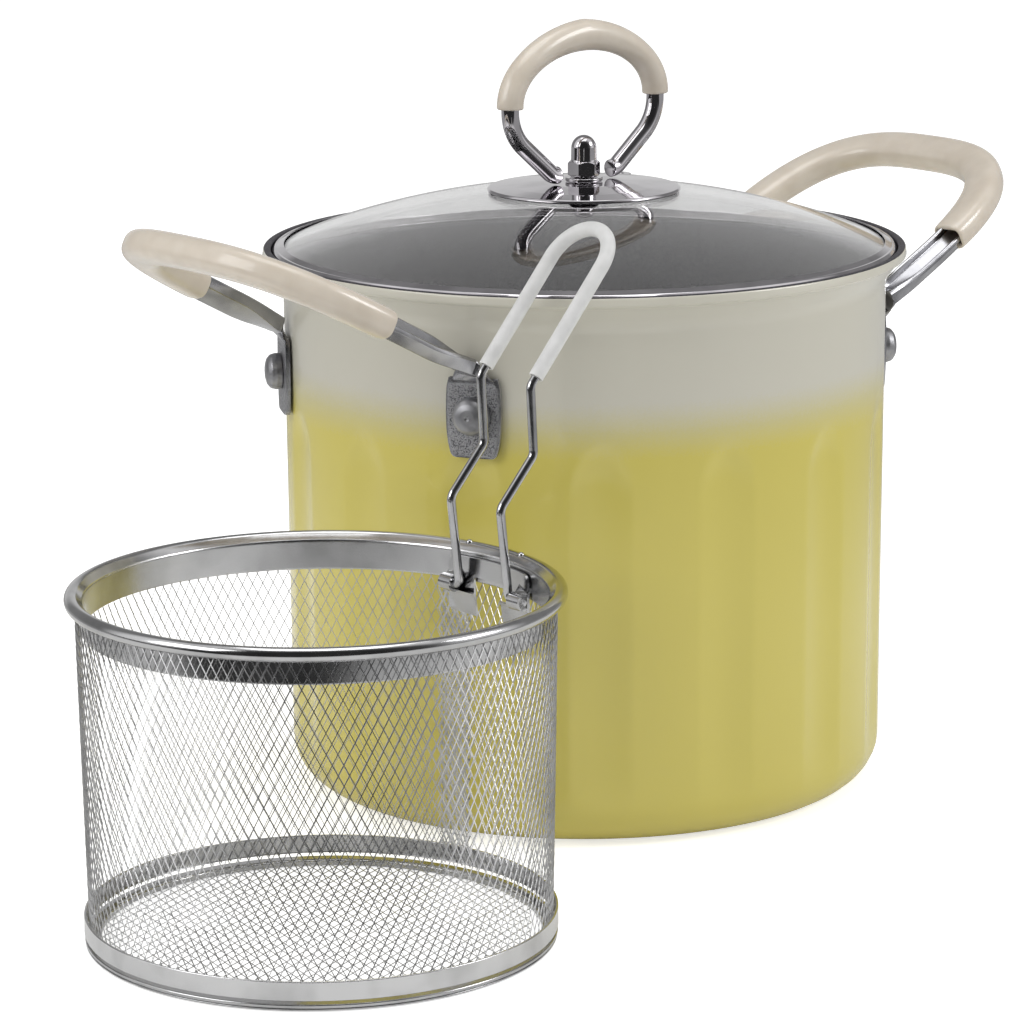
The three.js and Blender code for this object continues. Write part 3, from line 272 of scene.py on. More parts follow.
def revolved(profile: Array, sides: int, closed: bool = True) -> Skin:
    """Turns a profile about Z: x = radius cos(angle), y = radius sin(angle).

    Args:
        profile: radius and height of each point; an open one starts and ends on the axis.
        sides: points on each circle.
        closed: whether the profile is a ring round a hole.

    Returns:
        The surface.
    """
    rings = around_axis(profile[:, :1], np.linspace(0, 2 * np.pi, sides, endpoint=False), profile[:, 1:])
    if closed:
        return skinned(rings, True)
    return skinned(rings[1:-1], False, rings[[0, -1], 0])


def flat_ring(inner: float, outer: float, low: float, high: float, edge: float) -> Skin:
    """A flat ring between two radii and two heights, its edges rounded."""
    corners = np.array([[inner, low], [outer, low], [outer, high], [inner, high]])
    return revolved(rounded(corners, edge, 3, True, 0.15), 72)


def round_bar(line: Array, radius: float, reference: Array, sides: int, edge: float = 0.4) -> Skin:
    """A round bar along a path, the rims of whose ends turn by radius - edge + edge * cos(turn).

    Args:
        line: the path's points.
        radius: radius of the bar.
        reference: a direction that the path never runs along.
        sides: points round the bar.
        edge: radius of the rounding of the end rims.

    Returns:
        The bar's surface.
    """
    steps = 5
    length = along(line)
    inside = np.flatnonzero((length > 1.1 * edge) & (length < length[-1] - 1.1 * edge))
    forward, across, up = path_frame(line, reference)
    turn = np.linspace(np.pi / 2, 0, steps)
    narrow = radius - edge + edge * np.cos(turn)
    back = edge * (1 - np.sin(turn))[:, None]
    places = np.vstack([line[0] + forward[0] * back, line[inside], line[-1] - forward[-1] * back[::-1]])
    pick = np.r_[np.zeros(steps, int), inside, np.full(steps, len(line) - 1)]
    size = np.r_[narrow, np.full(len(inside), radius), narrow[::-1]]
    return skinned(carried(places, across[pick], up[pick], circle(sides)[None] * size[:, None, None]), False)


def hollow_bar(places: Array, across: Array, up: Array, outer: Array, bore: Array) -> Skin:
    """A sleeve along a path, closed over both ends by half-round lips.

    From the outer section to the bore, a lip keeps the wall's middle, multiplies its half thickness by
    cos(turn) and moves out along the path by the half thickness times sin(turn).

    Args:
        places: the path's points.
        across: direction of each section's x.
        up: direction of each section's y.
        outer: outer sections, by point of the path.
        bore: section of the hole.

    Returns:
        The sleeve's surface.
    """
    forward = unit(np.gradient(places, axis=0))
    turn = np.linspace(0, np.pi, 9)[1:-1]

    def lip(at: int, sign: float) -> Array:
        """Makes a lip.

        Args:
            at: number of the end's point.
            sign: 1 at the path's end, -1 at its start.

        Returns:
            Rings from the outer section to the bore.
        """
        middle, half = (outer[at] + bore) / 2, (outer[at] - bore) / 2
        section = middle[None] + half[None] * np.cos(turn)[:, None, None]
        reach = np.linalg.norm(half, axis=1).mean() * np.sin(turn)
        return carried(places[at] + sign * forward[at] * reach[:, None], across[[at]], up[[at]], section)

    inside = carried(places, across, up, bore[None])
    rings = [carried(places, across, up, outer), lip(-1, 1), inside[::-1], lip(0, -1)[::-1]]
    return skinned(np.concatenate(rings), True)


# Materials


def linear(colour: str) -> Colour:
    """Turns an sRGB hex colour to linear: c / 12.92 where c is dark, ((c + 0.055) / 1.055) ** 2.4 elsewhere.

    Args:
        colour: # and six hex digits.

    Returns:
        Red, green, blue and one.
    """
    parts = [int(colour[i:i + 2], 16) / 255 for i in (1, 3, 5)]
    r, g, b = (c / 12.92 if c <= 0.04045 else ((c + 0.055) / 1.055) ** 2.4 for c in parts)
    return r, g, b, 1.0


def add_node(tree: Tree, kind: str, values: dict | None = None, links: dict | None = None,
             take: int | str = 0, stops: list[tuple[float, Colour]] | None = None,
             **settings: object) -> Socket | None:
    """Adds a node with its settings, values and links.

    Args:
        tree: the node tree.
        kind: the node's type, without the word that all of them start with.
        values: values of sockets, by name or number.
        links: output sockets that feed its sockets, by name or number.
        take: name or number of the output to return.
        stops: places and colours of a colour ramp.
        settings: properties of the node.

    Returns:
        The output, or None where the node has none.
    """
    node = tree.nodes.new("ShaderNode" + kind)
    for name, setting in settings.items():
        setattr(node, name, setting)
    for socket, value in (values or {}).items():
        node.inputs[socket].default_value = value
    for socket, output in (links or {}).items():
        tree.links.new(output, node.inputs[socket])
    for number, (place, colour) in enumerate(stops or []):
        elements = node.color_ramp.elements
        element = elements[number] if number < len(elements) else elements.new(place)
        element.position, element.color = place, colour
    return node.outputs[take] if node.outputs else None


def new_material(name: str) -> tuple[Material, Tree]:
    """Makes an empty node material.

    Args:
        name: its name.

    Returns:
        The material and its tree.
    """
    material = bpy.data.materials.new(name)
    material.use_nodes = True
    material.node_tree.nodes.clear()
    return material, material.node_tree


def pattern(tree: Tree, size_mm: float, detail: float = 2.0, stretch: Triple = (1, 1, 1)) -> Socket:
    """Adds noise on Object coordinates.

    Args:
        tree: the node tree.
        size_mm: width of a grain.
        detail: octaves of finer noise in it.
        stretch: how many times longer a grain is along each axis.

    Returns:
        The noise, from 0 to 1.
    """
    place = add_node(tree, "TexCoord", take="Object")
    scaled = add_node(tree, "Mapping", {"Scale": tuple(1 / s for s in stretch)}, {"Vector": place})
    return add_node(tree, "TexNoise", {"Scale": 1 / (size_mm * MM), "Detail": detail}, {"Vector": scaled},
                    "Fac")


def surface(tree: Tree, values: dict, links: dict, relief: Socket, depth_mm: float) -> None:
    """Ends a material's tree with its relief, the Principled shader and the output.

    Args:
        tree: the node tree.
        values: values of the shader's sockets.
        links: output sockets that feed the shader's.
        relief: height of the surface, from 0 to 1.
        depth_mm: the height that 1 stands for.
    """
    bumps = add_node(tree, "Bump", {"Strength": 1.0, "Distance": depth_mm * MM}, {"Height": relief})
    shader = add_node(tree, "BsdfPrincipled", values, links | {"Normal": bumps})
    add_node(tree, "OutputMaterial", links={"Surface": shader})


@dataclass(frozen=True)
class SprayedEnamel:
    """Baked enamel, cream above and yellow below: glossy, with faint orange peel and a speckled fade."""

    cream: str = "#CCC9BC"
    blend: str = "#CBC38E"
    lemon: str = "#D0C361"
    fade_low_mm: float = 126.0
    fade_high_mm: float = 153.0
    speckle_mm: float = 0.9  # spray drops of about 0.2 mm are too fine to show, so they are drawn coarser
    patch_mm: float = 9.0
    peel_mm: float = 2.6
    peel_depth_mm: float = 0.0025

    def material(self) -> Material:
        """Makes the enamel of the pot's outside, which fades by height plus a little noise.

        Returns:
            The material.
        """
        material, tree = new_material("sprayed_enamel")
        place = add_node(tree, "TexCoord", take="Object")
        height = add_node(tree, "SeparateXYZ", links={0: place}, take="Z")
        fade = add_node(tree, "MapRange",
                        {"From Min": self.fade_low_mm * MM, "From Max": self.fade_high_mm * MM},
                        {"Value": height}, interpolation_type="SMOOTHSTEP")
        speckle = add_node(tree, "MapRange", {"To Min": -0.09, "To Max": 0.09},
                           {"Value": pattern(tree, self.speckle_mm, 3)})
        mixed = add_node(tree, "Math", links={0: fade, 1: speckle}, use_clamp=True)
        colour = add_node(tree, "ValToRGB", links={0: mixed}, stops=[
            (0.08, linear(self.lemon)), (0.5, linear(self.blend)), (0.95, linear(self.cream))])
        rough = add_node(tree, "MapRange", {"To Min": 0.20, "To Max": 0.24},
                         {"Value": pattern(tree, self.patch_mm)})
        surface(tree, {"Coat Weight": 0.35, "Coat Roughness": 0.08},
                {"Base Color": colour, "Roughness": rough}, pattern(tree, self.peel_mm, 1),
                self.peel_depth_mm)
        return material


@dataclass(frozen=True)
class NonStickCoat:
    """Dark grey sprayed non-stick coat: satin, with a fine pale fleck."""

    grey: str = "#2B282E"
    fleck: str = "#55535B"
    fleck_mm: float = 0.8  # the real fleck is about 0.2 mm, too fine to show, so it is drawn coarser
    fleck_depth_mm: float = 0.02
    patch_mm: float = 14.0

    def material(self) -> Material:
        """Makes the coat inside the pot.

        Returns:
            The material.
        """
        material, tree = new_material("non_stick_coat")
        grain = pattern(tree, self.fleck_mm, 4)
        colour = add_node(tree, "ValToRGB", links={0: grain},
                          stops=[(0.52, linear(self.grey)), (0.70, linear(self.fleck))])
        rough = add_node(tree, "MapRange", {"To Min": 0.42, "To Max": 0.54},
                         {"Value": pattern(tree, self.patch_mm)})
        surface(tree, {"IOR": 1.35}, {"Base Color": colour, "Roughness": rough}, grain, self.fleck_depth_mm)
        return material


class SteelLook(Enum):
    """Looks of stainless steel: name, colour, bright and dull roughness, scratch depth and stretch on Z."""

    MIRROR = ("mirror_polished_steel", "#CBC8CC", 0.04, 0.08, 0.001, 6)
    WIRE = ("bright_drawn_wire", "#C2C2C4", 0.09, 0.16, 0.002, 6)
    SHEET = ("bright_stainless_sheet", "#BEBEBF", 0.07, 0.15, 0.002, 0.12)
    BAND = ("rolled_strip_steel", "#D2D2D3", 0.16, 0.26, 0.002, 0.12)
    NET = ("bright_expanded_mesh", "#CACACB", 0.26, 0.38, 0.004, 6)


@dataclass(frozen=True)
class StainlessSteel:
    """Stainless steel: fine scratches along the way it was polished, and soft patches of handling."""

    look: SteelLook
    scratch_mm: float = 0.35  # scratches of about 0.02 mm are too fine to show, so they are drawn coarser
    patch_mm: float = 13.0
    patch_tone: float = 0.8

    def material(self) -> Material:
        """Makes the steel of one finish.

        Returns:
            The material.
        """
        name, colour, bright, dull, depth, length = self.look.value
        material, tree = new_material(name)
        scratch = pattern(tree, self.scratch_mm, 2, (1, 1, length))
        patch = pattern(tree, self.patch_mm)
        dark = tuple(self.patch_tone * c for c in linear(colour)[:3]) + (1.0,)
        tone = add_node(tree, "ValToRGB", links={0: patch}, stops=[(0.34, dark), (0.56, linear(colour))])
        wear = add_node(tree, "Math", {1: 0.5}, {0: scratch, 2: patch}, operation="MULTIPLY_ADD",
                        use_clamp=True)
        rough = add_node(tree, "MapRange", {"To Min": bright, "To Max": dull}, {"Value": wear})
        surface(tree, {"Metallic": 1.0}, {"Base Color": tone, "Roughness": rough}, scratch, depth)
        return material


@dataclass(frozen=True)
class PlatedStrip:
    """Nickel-plated strip steel: satin along the arms, struck with a coarse hammered grain on the ears."""

    steel: str = "#AEAEB1"
    shade: str = "#909094"
    # Painted shade: the colour of the struck grain's low pits, darker than the steel.
    pit_shade: str = "#67676B"
    patch_mm: float = 11.0
    grain_mm: float = 0.5
    grain_depth_mm: float = 0.11

    def material(self) -> Material:
        """Makes the plating of the handles' strip; the attribute ear is one on the struck field.

        Returns:
            The material.
        """
        material, tree = new_material("nickel_plated_strip")
        ear = add_node(tree, "Attribute", take="Fac", attribute_name="ear")
        struck = pattern(tree, self.grain_mm, 3)
        sharp = add_node(tree, "ValToRGB", links={0: struck},
                         stops=[(0.40, (0, 0, 0, 1)), (0.58, (1, 1, 1, 1))])
        height = add_node(tree, "Math", links={0: sharp, 1: ear}, operation="MULTIPLY")
        # Painted shade: where the struck grain is low, its pits take the darker colour.
        shaded_pits = add_node(tree, "ValToRGB", links={0: struck},
                        stops=[(0.38, linear(self.pit_shade)), (0.55, linear(self.steel))])
        calm = add_node(tree, "ValToRGB", links={0: pattern(tree, self.patch_mm)},
                        stops=[(0.35, linear(self.shade)), (0.6, linear(self.steel))])
        tone = add_node(tree, "Mix", links={0: ear, 6: calm, 7: shaded_pits}, take=2, data_type="RGBA")
        rough = add_node(tree, "MapRange", {"To Min": 0.24, "To Max": 0.34}, {"Value": ear})
        surface(tree, {"Metallic": 1.0}, {"Base Color": tone, "Roughness": rough}, height,
                self.grain_depth_mm)
        return material


@dataclass(frozen=True)
class SatinAluminium:
    """Cold-headed aluminium: satin, with the fine rings of the heading tool read as a soft grain."""

    colour: str = "#A6A6A9"
    shade: str = "#8D8D90"
    patch_mm: float = 5.0
    grain_mm: float = 0.6  # the real grain is about 0.05 mm, too fine to show, so it is drawn coarser
    grain_depth_mm: float = 0.015

    def material(self) -> Material:
        """Makes the rivets' aluminium.

        Returns:
            The material.
        """
        material, tree = new_material("satin_aluminium")
        grain = pattern(tree, self.grain_mm, 3)
        tone = add_node(tree, "ValToRGB", links={0: pattern(tree, self.patch_mm)},
                        stops=[(0.35, linear(self.shade)), (0.62, linear(self.colour))])
        rough = add_node(tree, "MapRange", {"To Min": 0.34, "To Max": 0.5}, {"Value": grain})
        surface(tree, {"Metallic": 1.0}, {"Base Color": tone, "Roughness": rough}, grain,
                self.grain_depth_mm)
        return material


@dataclass(frozen=True)
class CreamPhenolic:
    """Moulded cream thermoset: glossy, slightly waxy, with a broad moulding wave and barely darker drift."""

    colour: str = "#D6CCBE"
    shade: str = "#CEC3B4"
    wave_mm: float = 9.0
    wave_depth_mm: float = 0.03
    patch_mm: float = 2.2

    def material(self) -> Material:
        """Makes the grips' plastic.

        Returns:
            The material.
        """
        material, tree = new_material("cream_phenolic")
        wave = pattern(tree, self.wave_mm)
        tone = add_node(tree, "ValToRGB", links={0: wave},
                        stops=[(0.3, linear(self.shade)), (0.65, linear(self.colour))])
        rough = add_node(tree, "MapRange", {"To Min": 0.17, "To Max": 0.27},
                         {"Value": pattern(tree, self.patch_mm, 3)})
        surface(tree, {"IOR": 1.53, "Coat Weight": 0.25, "Coat Roughness": 0.06, "Subsurface Weight": 0.08,
                       "Subsurface Radius": (0.004, 0.003, 0.002), "Subsurface Scale": 1.0},
                {"Base Color": tone, "Roughness": rough}, wave, self.wave_depth_mm)
        return material


@dataclass(frozen=True)
class TemperedGlass:
    """Pressed and tempered soda-lime glass: clear, with the slow wave of the press."""

    tint: str = "#FEFEFE"
    wave_mm: float = 42.0
    wave_depth_mm: float = 0.05

    def material(self) -> Material:
        """Makes the lid's glass.

        Returns:
            The material.
        """
        material, tree = new_material("tempered_glass")
        surface(tree, {"Base Color": linear(self.tint), "Roughness": 0.0, "IOR": 1.5,
                       "Transmission Weight": 1.0}, {}, pattern(tree, self.wave_mm, 1), self.wave_depth_mm)
        return material


@dataclass(frozen=True)
class MilkySilicone:
    """Extruded silicone: matt to satin, milky where light passes a little way in."""

    name: str = "white_silicone"
    colour: str = "#DEDEDD"
    shade: str = "#D4D4D3"
    patch_mm: float = 7.0
    grain_mm: float = 0.7  # the real grain is about 0.05 mm, too fine to show, so it is drawn coarser
    grain_depth_mm: float = 0.01

    def material(self) -> Material:
        """Makes the silicone of one colour.

        Returns:
            The material.
        """
        material, tree = new_material(self.name)
        tone = add_node(tree, "ValToRGB", links={0: pattern(tree, self.patch_mm)},
                        stops=[(0.35, linear(self.shade)), (0.6, linear(self.colour))])
        grain = pattern(tree, self.grain_mm, 3)
        rough = add_node(tree, "MapRange", {"To Min": 0.34, "To Max": 0.44}, {"Value": grain})
        surface(tree, {"IOR": 1.41, "Subsurface Weight": 0.35, "Subsurface Radius": (0.003, 0.003, 0.003),
                       "Subsurface Scale": 1.0},
                {"Base Color": tone, "Roughness": rough}, grain, self.grain_depth_mm)
        return material


class Finish(Protocol):
    """Any of the finishes above."""

    def material(self) -> Material:
        """Makes the finish's material."""


def made(finish: Finish) -> Material:
    """A field that holds a finish's material, made with the object."""
    return field(default_factory=finish.material)


@dataclass
class Finishes:
    """Every material of the object, made once."""

    enamel: Material = made(SprayedEnamel())
    coat: Material = made(NonStickCoat())
    strip: Material = made(PlatedStrip())
    rivet: Material = made(SatinAluminium())
    grip: Material = made(CreamPhenolic())
    glass: Material = made(TemperedGlass())
    mirror: Material = made(StainlessSteel(SteelLook.MIRROR))
    wire: Material = made(StainlessSteel(SteelLook.WIRE))
    sheet: Material = made(StainlessSteel(SteelLook.SHEET))
    band: Material = made(StainlessSteel(SteelLook.BAND))
    net: Material = made(StainlessSteel(SteelLook.NET))
    sleeve: Material = made(MilkySilicone())
    seal: Material = made(MilkySilicone("seal_silicone", "#CFCFCB", "#BFBFBB"))


# Pieces


def make_piece(name: str, skin: Skin, finishes: list[Material], body: str,
               replaced: tuple[str, ...], sharp_degrees: float, face_finish: Array | None = None,
               shares: dict[str, Array] | None = None) -> None:
    """Makes an object from a surface and hands it to the frame.

    Args:
        name: the piece's name.
        skin: its surface, in millimetres.
        finishes: its materials.
        body: the CAD body that it rides on.
        replaced: the CAD nodes that it stands for.
        sharp_degrees: edges bent by more than this stay sharp.
        face_finish: the number of the finish of each four-sided face; the three-sided ones take the last.
        shares: point attributes by name.
    """
    solid = skin.facing_out()
    mesh = bpy.data.meshes.new(name)
    mesh.from_pydata((solid.points * MM).tolist(), [], solid.quads.tolist() + solid.triangles.tolist())
    for finish in finishes:
        mesh.materials.append(finish)
    if face_finish is not None:
        rest = np.full(len(solid.triangles), face_finish[-1])
        mesh.polygons.foreach_set("material_index", np.r_[face_finish, rest].astype(np.int32))
    for attribute, values in (shares or {}).items():
        mesh.attributes.new(attribute, "FLOAT", "POINT").data.foreach_set("value", values.astype(np.float32))
    mesh.polygons.foreach_set("use_smooth", np.ones(len(mesh.polygons), bool))
    mesh.set_sharp_from_angle(angle=math.radians(sharp_degrees))
    mesh.update()
    piece = bpy.data.objects.new(name, mesh)
    bpy.context.scene.collection.objects.link(piece)
    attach(piece, body)
    if replaced:
        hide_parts(*replaced)
    LOG.info("%s: %d points, %d faces", name, len(mesh.vertices), len(mesh.polygons))


@dataclass
class PotShell:
    """The deep-drawn pot with its fifteen pressed flutes, flared rim and inner ledge."""

    height: float = 185.0
    rim_radius: float = 110.0
    wall_top: float = 103.0
    wall_bottom: float = 102.0
    corner: float = 14.0
    wall: float = 2.4
    floor: float = 3.0
    recess: float = 0.9
    recess_radius: float = 66.5
    rim_band: float = 3.0
    ledge_depth: float = 5.0
    lip_height: float = 4.2
    lip_undercut: float = 2.2
    flare_height: float = 6.5
    flute_count: int = 15
    flute_turn: float = -8.0
    flute_half: float = 5.8
    flute_depth: float = 1.5
    flute_power: float = 1.25
    flute_top: float = 135.0
    flute_arch: float = 10.0
    flute_bottom: float = 3.0
    flute_run_out: float = 24.0
    columns: int = 440
    outer_step: float = 3.0
    inner_step: float = 14.0
    coat_and_shadow_lead: int = 6  # rings of the outer half, on the lip's flat top, that the coat covers too: partly real coat, partly painted shadow

    def profile(self) -> tuple[Array, Array]:
        """Draws the wall's section.

        Returns:
            Its outer and its inner half, as radius and height.
        """
        lip = self.height - self.lip_height
        ledge = self.height - self.ledge_depth
        lip_inside = self.rim_radius - self.rim_band
        outer = rounded(np.array([
            [0, self.recess], [self.recess_radius - 2.5, self.recess], [self.recess_radius, 0],
            [self.wall_bottom, 0], [self.wall_top, lip - self.flare_height],
            [self.rim_radius - self.lip_undercut, lip + 0.2], [self.rim_radius, lip + 1.3],
            [self.rim_radius - 0.4, self.height], [lip_inside, self.height],
        ]), np.array([2.0, 2.0, self.corner, 9.0, 0.9, 0.8, 0.9]), 8)[:-1]
        inner = rounded(np.array([
            [self.rim_radius - 1.2, self.height], [lip_inside, self.height], [lip_inside, ledge],
            [self.wall_top - self.wall, ledge], [self.wall_bottom - self.wall, self.floor], [0, self.floor],
        ]), np.array([0.7, 0.5, 1.4, self.corner - self.wall]), 8)[1:]
        return densified(outer, self.outer_step), densified(inner, self.inner_step)

    def pressed(self, angle: Array, height: Array) -> Array:
        """Works out how deep the wall is pressed in.

        With t as the share of the flute's half width, the depth is (1 - t squared) to a power across the
        hollow, times a soft step below its arched top, whose height falls with t squared, times a soft step
        above its long run-out at the bottom corner.

        Args:
            angle: angles in degrees.
            height: heights.

        Returns:
            The depth at each height and angle.
        """
        cell = 360 / self.flute_count
        offset = (angle - self.flute_turn + cell / 2) % cell - cell / 2
        share = np.clip(np.abs(offset) / self.flute_half, 0, 1)
        across = (1 - share ** 2) ** self.flute_power
        top = self.flute_top - self.flute_arch * share ** 2
        below = soft_step((top - height) / (self.flute_arch * 0.9))
        above = soft_step((height - self.flute_bottom) / self.flute_run_out)
        return self.flute_depth * across * below * above

    def build(self) -> tuple[Skin, Array]:
        """Turns the section about the pot's axis, with the flutes pressed into its outer half.

        Returns:
            The shell and the number of the finish of each of its four-sided faces.
        """
        outer, inner = self.profile()
        line = np.vstack([outer, inner])
        angle = np.linspace(0, 360, self.columns, endpoint=False)
        on_wall = (np.arange(len(line)) < len(outer)) & (line[:, 0] > self.wall_bottom - self.corner)
        radius = line[:, :1] - self.pressed(angle[None], line[:, 1:]) * on_wall[:, None]
        rings = around_axis(radius, np.radians(angle), line[:, 1:])
        # The coat's rows run over the lip's top, where they are partly painted shadow of the gap under the
        # lid's ring.
        coat_and_shadow_rows = np.arange(len(line) - 3) >= len(outer) - self.coat_and_shadow_lead
        return skinned(rings[1:-1], False, rings[[0, -1], 0]), np.repeat(coat_and_shadow_rows, self.columns).astype(int)

    def dress(self, finishes: Finishes) -> None:
        """Makes the pot's piece.

        Args:
            finishes: the materials.
        """
        skin, finish = self.build()
        make_piece("pot_shell", skin, [finishes.enamel, finishes.coat], "pot", ("pot_body",),
                   50, finish)


class Side(Enum):
    """The side of the pot that a handle is on: its name, its turn, and the names of its two rivets."""

    RIGHT = ("right", 0.0, ("rear", "front"))
    LEFT = ("left", 180.0, ("front", "rear"))


@dataclass
class Stations:
    """Stations along a strip: places, directions, half sizes, depth of groove and share of struck field."""

    places: Array
    across: Array
    up: Array
    half_width: Array
    half_thick: Array
    groove: Array
    struck: Array

    @classmethod
    def spread(cls, places: Array, across: Array, up: Array, width: Array | float, thick: Array | float,
               groove: Array | float = 0.0, struck: Array | float = 0.0) -> "Stations":
        """Makes stations from whole widths and thicknesses.

        Args:
            places: the stations' middles.
            across, up: the section's two directions; these and the numbers below are given for every
                station or once for all.
            width, thick: whole width and thickness.
            groove, struck: the values of the fields with these names.

        Returns:
            The stations.
        """
        numbers = [np.broadcast_to(value, len(places)) for value in (width, thick, groove, struck)]
        return cls(places, np.broadcast_to(across, places.shape), np.broadcast_to(up, places.shape),
                   numbers[0] / 2, numbers[1] / 2, *numbers[2:])

    def __add__(self, other: "Stations") -> "Stations":
        """These stations, followed by the others."""
        return Stations(*map(np.concatenate, zip(vars(self).values(), vars(other).values())))


@dataclass
class SideHandle:
    """A steel loop with its ears, rivets and cream grip; the left one is the right one given half a turn."""

    side: Side
    wall: float = 103.0
    shell: float = 2.4
    gap: float = 0.3
    ear_angle: float = 29.0
    ear_bottom: float = 131.0
    ear_top: float = 160.0
    ear_thickness: float = 2.0
    ear_width: float = 19.0
    shoulder: float = 0.78
    arm_width: float = 8.8
    arm_thickness: float = 5.2
    groove: float = 2.2
    groove_run_in: float = 5.0
    roll: float = 32.0
    roll_start: float = 1.0
    roll_run_in: float = 22.0
    roll_back: float = 44.0
    roll_run_out: float = 8.0
    slope: float = 28.0
    bend: float = 6.0
    straight: float = 20.0
    reach: float = 85.0
    squareness: float = 3.0
    grip_start: float = 41.0
    grip_end: Pair = (12.4, 10.2)
    grip_swell: Pair = (1.6, 0.2)
    grip_power: float = 2.7
    bore_power: float = 8.0
    rivet_height: float = 145.0

    @property
    def outward(self) -> Array:
        """The direction that points out of the rear ear."""
        return np.array([math.cos(math.radians(self.ear_angle)), math.sin(math.radians(self.ear_angle)), 0])

    @property
    def tangent(self) -> Array:
        """The level direction that lies in the rear ear."""
        return np.array([-math.sin(math.radians(self.ear_angle)), math.cos(math.radians(self.ear_angle)), 0])

    @property
    def ear_radius(self) -> float:
        """Distance of the ear's middle from the pot's axis."""
        return self.wall + self.gap + self.ear_thickness / 2

    @property
    def half_apart(self) -> float:
        """Half the distance between the two ears."""
        return self.ear_radius * math.sin(math.radians(self.ear_angle))

    @property
    def slope_up(self) -> Array:
        """The direction that stands on the sloping plane."""
        return np.array([-math.sin(math.radians(self.slope)), 0, math.cos(math.radians(self.slope))])

    def place(self, up_slope: Array | float, aside: Array | float) -> Array:
        """Points of the sloping plane that the loop lies in.

        Args:
            up_slope: distance along the slope from the line between the ears.
            aside: distance to the side.

        Returns:
            The points.
        """
        out = self.ear_radius * math.cos(math.radians(self.ear_angle))
        lean = math.radians(self.slope)
        return np.stack([out + up_slope * math.cos(lean), aside + 0 * up_slope,
                         self.ear_top + up_slope * math.sin(lean)], -1)

    def loop(self, count: int) -> Array:
        """Draws the loop's middle line, with |cos| and |sin| of the angle raised to 2 / squareness.

        Args:
            count: points on the line.

        Returns:
            Points at even distances, from one arm to the other.
        """
        angle = np.linspace(-np.pi / 2, np.pi / 2, count)
        aside = np.sign(np.sin(angle)) * np.abs(np.sin(angle)) ** (2 / self.squareness)
        out = np.abs(np.cos(angle)) ** (2 / self.squareness)
        line = self.place(self.straight + (self.reach - self.straight) * out, self.half_apart * aside)
        return taken_at(line, np.linspace(0, along(line)[-1], count))

    def strip_section(self) -> Array:
        """Draws the strip's section.

        Returns:
            Half width, half thickness and share of the groove at each point.
        """
        corners = np.array([[-1, -1], [1, -1], [1, 0.6], [0.84, 1], [0.64, 1], [0.46, 0.2], [-0.46, 0.2],
                            [-0.64, 1], [-0.84, 1], [-1, 0.6]])
        radius = np.array([0.12, 0.12, 0.12, 0.08, 0.08, 0.1, 0.1, 0.08, 0.08, 0.12])
        line = rounded(corners, radius, 3, closed=True)
        depth = np.clip((1 - line[:, 1]) / 0.8, 0, 1) * (np.abs(line[:, 0]) < 0.68) * (line[:, 1] > 0)
        return np.stack([line[:, 0], np.where(depth > 0, 1, line[:, 1]), depth], 1)

    def bend_line(self) -> Array:
        """Draws the round bend between the rear ear and its arm.

        Returns:
            Its points, from the ear to the arm.
        """
        corners = [self.place(0.0, self.half_apart), self.place(self.straight, self.half_apart)]
        ground = corners[0] * np.array([1, 1, 0]) + np.array([0, 0, self.ear_bottom])
        return rounded(np.stack([ground, *corners]), self.bend, 16)[1:-1]

    def ear_stations(self) -> Stations:
        """Lays stations up the rear ear, whose width follows its stamped outline.

        Returns:
            The stations, close together at its rounded foot.
        """
        rise = np.r_[0, 0.012, 0.035, np.linspace(0.07, 0.9, 18)]
        width = np.interp(rise, [0, 0.012, 0.035, 0.07, 0.15, 0.3, 0.5, 0.65, 0.8, 0.9, 0.97],
                          [0.70, 0.77, 0.83, 0.87, 0.93, 0.985, 1.0, 0.995, 0.965, 0.89, 0.82])
        height = self.ear_bottom + (self.ear_top - self.ear_bottom) * rise
        foot = self.place(0.0, self.half_apart) * np.array([1, 1, 0])
        places = foot + np.array([0, 0, 1]) * height[:, None]
        struck = np.clip(np.minimum(rise / 0.04, (0.86 - rise) / 0.06), 0, 1)
        return Stations.spread(places, self.tangent, self.outward, self.ear_width * width,
                               self.ear_thickness, 0.0, struck)

    def bend_stations(self) -> Stations:
        """Lays stations round the bend, whose sizes and directions run from the ear's to the arm's.

        They move out from the wall as the strip grows thicker and turns, so that its back never touches it.

        Returns:
            The stations.
        """
        bend = self.bend_line()
        share = (np.arange(len(bend)) + 1) / len(bend)
        up = unit(self.outward * (1 - share)[:, None] + self.slope_up * share[:, None])
        across = unit(self.tangent * (1 - share)[:, None] + Y_AXIS * share[:, None])
        thick = self.ear_thickness + (self.arm_thickness - self.ear_thickness) * share
        start_width = self.ear_width * self.shoulder
        width = start_width + (self.arm_width - start_width) * share
        turned_in = width / 2 * np.sin(math.radians(self.ear_angle) * share) * (1 - share)
        clearance = (thick - self.ear_thickness) / 2 * (1 - share ** 2) + turned_in
        return Stations.spread(bend + self.outward * clearance[:, None], across, up, width, thick)

